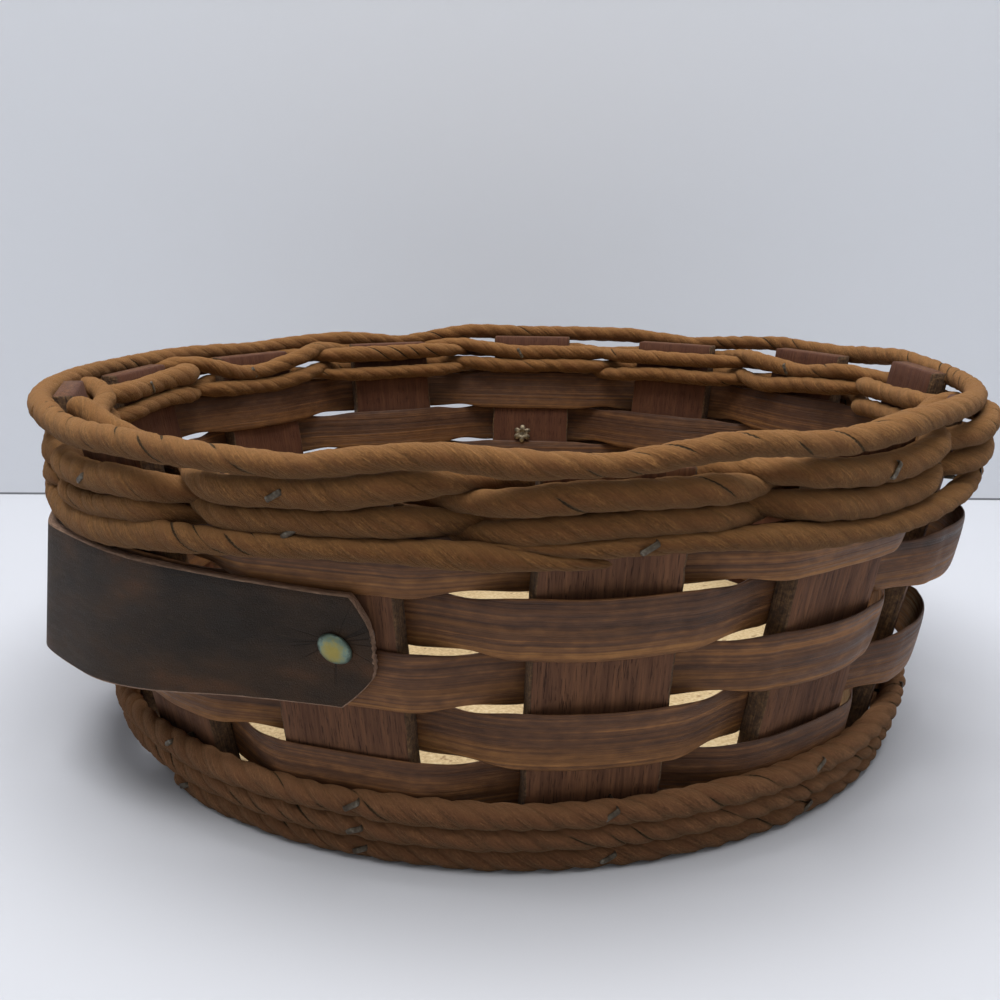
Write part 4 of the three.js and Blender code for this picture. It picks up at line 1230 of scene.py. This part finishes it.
# %% Rivets
def make_rivet(side, place, k, offset, seed):
    head = [(HEAD_SEAT + height, radius) for height, radius in HEAD]
    star = [(-STAR_SEAT - height, radius) for height, radius in STAR]
    points, faces = [], []
    for profile, petals in ((head, 0), (SHANK, 0), (star, 0.45)):
        rings = rivet_rings(profile, petals, seed)
        faces += ring_faces(len(rings), RIVET_SIDES, sum(map(len, points)))
        points.append(with_middles(rings))
    points = np.vstack(points)
    share = np.hypot(points[:, 1], points[:, 2]) / 4
    lean = np.array(Matrix.Rotation(LEAN_ANGLE, 3, "Y"))
    turn = np.array(Matrix.Rotation(float(angle_at(k)), 3, "Z"))
    middle = outer_face(RIVET_HEIGHT) - STAKE_DEPTH / 2
    placed = (points @ lean.T + np.array([middle, offset, RIVET_HEIGHT])) @ turn.T
    rivet = new_object(f"{side}_brass_rivet_{place}", placed, faces)
    remember(rivet, "grain", np.stack([share, share, points[:, 0] < 0], -1))
    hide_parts(f"{side}_rivet_{place}")
    return dress(face_outward(rivet), "rivet", BRASS)


make_rivet("left", "front", 0, RIVET_OFFSET, 1)
make_rivet("left", "rear", 10, -RIVET_OFFSET, 2)
make_rivet("right", "front", 4, -RIVET_OFFSET, 3)
make_rivet("right", "rear", 7, RIVET_OFFSET, 4)


# %% [markdown]
# Staples
#
# The cord is held by small wire staples, driven in at a slant. Each is a bent wire: a path with
# two round corners, with a flat oval section along it. Its legs go on into the stake, where
# nobody sees them, because the CAD model has them too.

# %% A bent wire
RIM_LEG = 12
FOOT_LEG = 17
SHORT_LEG = 8
SLOPE = 25
RIM_SLOPE = 30
STEEP_SLOPE = 52
CROWN_HALF = 2.0
CROWN_BEND = 0.5
WIRE_HALF_THICKNESS = 0.28
WIRE_HALF_WIDTH = 0.7
WIRE_POINTS = 10


def wire_path(leg):
    """Across the crown and outwards, from one leg's tip to the other's."""
    corner = np.radians([0, 22.5, 45, 67.5, 90])
    left = [(-CROWN_HALF, -leg), (-CROWN_HALF, -leg * 0.5)]
    left += [(-CROWN_HALF + CROWN_BEND * (1 - math.cos(a)), -CROWN_BEND + CROWN_BEND * math.sin(a))
             for a in corner]
    right = [(-x, y) for x, y in reversed(left)]
    return np.array(left + [(0, 0.02)] + right)


def make_staple(name, n, seat, leg, slope=SLOPE, node=None, facing=1):
    """A staple at this place and (radius, height). It faces out of the basket, or into it."""
    flat = wire_path(leg)
    out, tangent = directions_at(n)
    out *= facing
    crown = tangent * math.cos(math.radians(slope)) + np.array([0, 0, math.sin(math.radians(slope))])
    normal = np.cross(crown, out)
    step = unit(np.gradient(flat, axis=0))
    square = np.stack([-step[:, 1], step[:, 0]], -1)
    turn = around(WIRE_POINTS)
    centre = polar(angle_at(n), *seat) + flat[:, :1] * crown + flat[:, 1:] * out
    side = square[:, :1] * crown + square[:, 1:] * out
    rings = rings_round(centre, side, normal[None], WIRE_HALF_THICKNESS * np.cos(turn),
                        WIRE_HALF_WIDTH * np.sin(turn))
    staple = new_object(name, with_middles(rings), ring_faces(len(rings), WIRE_POINTS))
    if node:
        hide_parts(node)
    return dress(face_outward(staple, told=False), "staple", STEEL)


print("a rim staple's wire has", len(wire_path(RIM_LEG)), "points")

# %% Where staples sit
def on_woven(n, facing=1):
    radius, z, _ = woven_cord_path(n)
    return radius + facing * (along_knots(n, THICKNESSES) / 2 - 0.3), z


def on_lower(n):
    width = min(along_knots(n, LOWER_SIZES) + 0.8, 6)
    return LOWER_CENTRE + width / 2 - 0.4, along_knots(n, LOWER_HEIGHTS)


def on_foot(n):
    radius, z, width, _ = foot_path(n)
    return radius + width / 2 - 0.4, z


print("a staple sits", [round(float(v), 1) for v in on_foot(13)], "mm out and up on the foot cord")

# %% Staples
# The lowest turn of the foot cord begins by this stake, and reaches the ones before it a round later
FIRST_FOOT_STAKE = 11
SHIFTED = {0: -0.07, 1: 0.08, 8: 0.05, 9: -0.04}
for k in range(STAKES):
    number = f"{k + 1:02d}"
    n = k + SHIFTED.get(k, 0)
    make_staple(f"wire_staple_rim_{number}", n, on_woven(n) if k % 2 == 0 else on_lower(n), RIM_LEG,
                STEEP_SLOPE if k == 2 else RIM_SLOPE, f"rim_staple_{number}")
    lowest = k + FOOT_SHIFT + (STAKES if k < FIRST_FOOT_STAKE else 0)
    make_staple(f"wire_staple_foot_{number}", k + FOOT_SHIFT, on_foot(lowest), FOOT_LEG,
                node=f"foot_staple_{number}")

for count, place in enumerate(TOP_TURN_STAPLES, 1):
    radius, z = on_foot(place + FOOT_SHIFT)
    make_staple(f"wire_staple_foot_top_{count:02d}", place + FOOT_SHIFT - 0.01, (radius, z + 0.6),
                SHORT_LEG, 32)
make_staple("wire_staple_foot_middle", 26.05, on_foot(26.05), SHORT_LEG, 20)
make_staple("wire_staple_extra", -0.04, (on_woven(26)[0] - 0.2, 82.6), SHORT_LEG, 32)
for count, n in enumerate((5.06, 7.08, 9.1, 23.1), 1):
    make_staple(f"wire_staple_inside_{count:02d}", n, on_woven(n, -1), SHORT_LEG, 60, facing=-1)


# %% [markdown]
# Floor, wall and light
#
# The basket stands on a white table close to a pale wall, under the soft light of a shop. One
# wide lamp above and an even grey-white sky give that. A thin dark sheet where the wall meets the
# table is a painted shadow line. The wall would hide the basket from behind, so its back lets
# light and sight through.

# %% Floor and wall
def stage_finish(name, colour, see_through_back=True):
    finish = Finish(name, 0.85, shine=0.2)
    finish.put(finish.shader, {"Base Color": colour})
    if see_through_back:
        back = finish.given("Backfacing", "ShaderNodeNewGeometry")
        solid = Value(finish, finish.shader.outputs[0])
        clear = finish.given(0, "ShaderNodeBsdfTransparent")
        both = finish.given(0, "ShaderNodeMixShader", back, solid, clear)
        finish.put(finish.nodes["Material Output"], {"Surface": both})
    return finish.material


def flat_sheet(name, corners, finish):
    sheet = new_object(name, corners, [(0, 1, 2, 3)], None)
    sheet.data.materials.append(finish)
    sheet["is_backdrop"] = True
    return sheet


FLOOR_REACH = 4000
WALL_BEHIND = 240
WALL_REACH = 1500
WALL_HEIGHT = 1600
SEAM_HEIGHT = 1.1
floor_corners = [(x * FLOOR_REACH, y * FLOOR_REACH, 0) for x, y in ((-1, -1), (1, -1), (1, 1), (-1, 1))]
flat_sheet("floor", floor_corners, stage_finish("white_table", (208, 210, 216), False))
for name, behind, height, finish in (
    ("wall", WALL_BEHIND, WALL_HEIGHT, stage_finish("pale_wall", (222, 225, 231))),
    # A thin dark sheet at the wall's foot: a painted shadow line
    ("wall_seam_shadow", WALL_BEHIND - 1, SEAM_HEIGHT, stage_finish("seam_shadow", (128, 130, 134))),
):
    left_foot, right_foot = (facing * behind + level * reach for reach in (-WALL_REACH, WALL_REACH))
    rise = Vector((0, 0, height))
    flat_sheet(name, [left_foot, right_foot, right_foot + rise, left_foot + rise], finish)

print("wall", WALL_BEHIND, "mm behind the axis")

# %% Light
SKY_STRENGTH = 0.38
LAMP_POWER = 22
LAMP_WIDTH = 1.3
LAMP_PLACE = Vector((-0.06, -0.05, 1.3))
LAMP_AIM = Vector((0, 0, 0.05))
world = bpy.data.worlds.new("shop_light")
bpy.context.scene.world = world
world.use_nodes = True
sky = world.node_tree.nodes["Background"]
sky.inputs["Color"].default_value = (0.98, 0.99, 1.0, 1)
sky.inputs["Strength"].default_value = SKY_STRENGTH

lamp_data = bpy.data.lights.new("ceiling_light", "AREA")
lamp_data.shape = "DISK"
lamp_data.size = LAMP_WIDTH
lamp_data.energy = LAMP_POWER
lamp = bpy.data.objects.new("ceiling_light", lamp_data)
lamp.location = LAMP_PLACE
lamp.rotation_euler = (LAMP_AIM - LAMP_PLACE).to_track_quat("-Z", "Y").to_euler()
bpy.context.scene.collection.objects.link(lamp)
bpy.context.scene.view_settings.view_transform = "Standard"
print("lamp", LAMP_POWER, "W, sky", SKY_STRENGTH)


# %% [markdown]
# Sizes, and the end
#
# The two boxes, of the CAD model and of the dressed one, are written down so that they can be
# compared.

# %% Finish
size = {"cad": [list(corner) for corner in cad_box], "visual": [list(corner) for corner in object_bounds()]}
print(size)
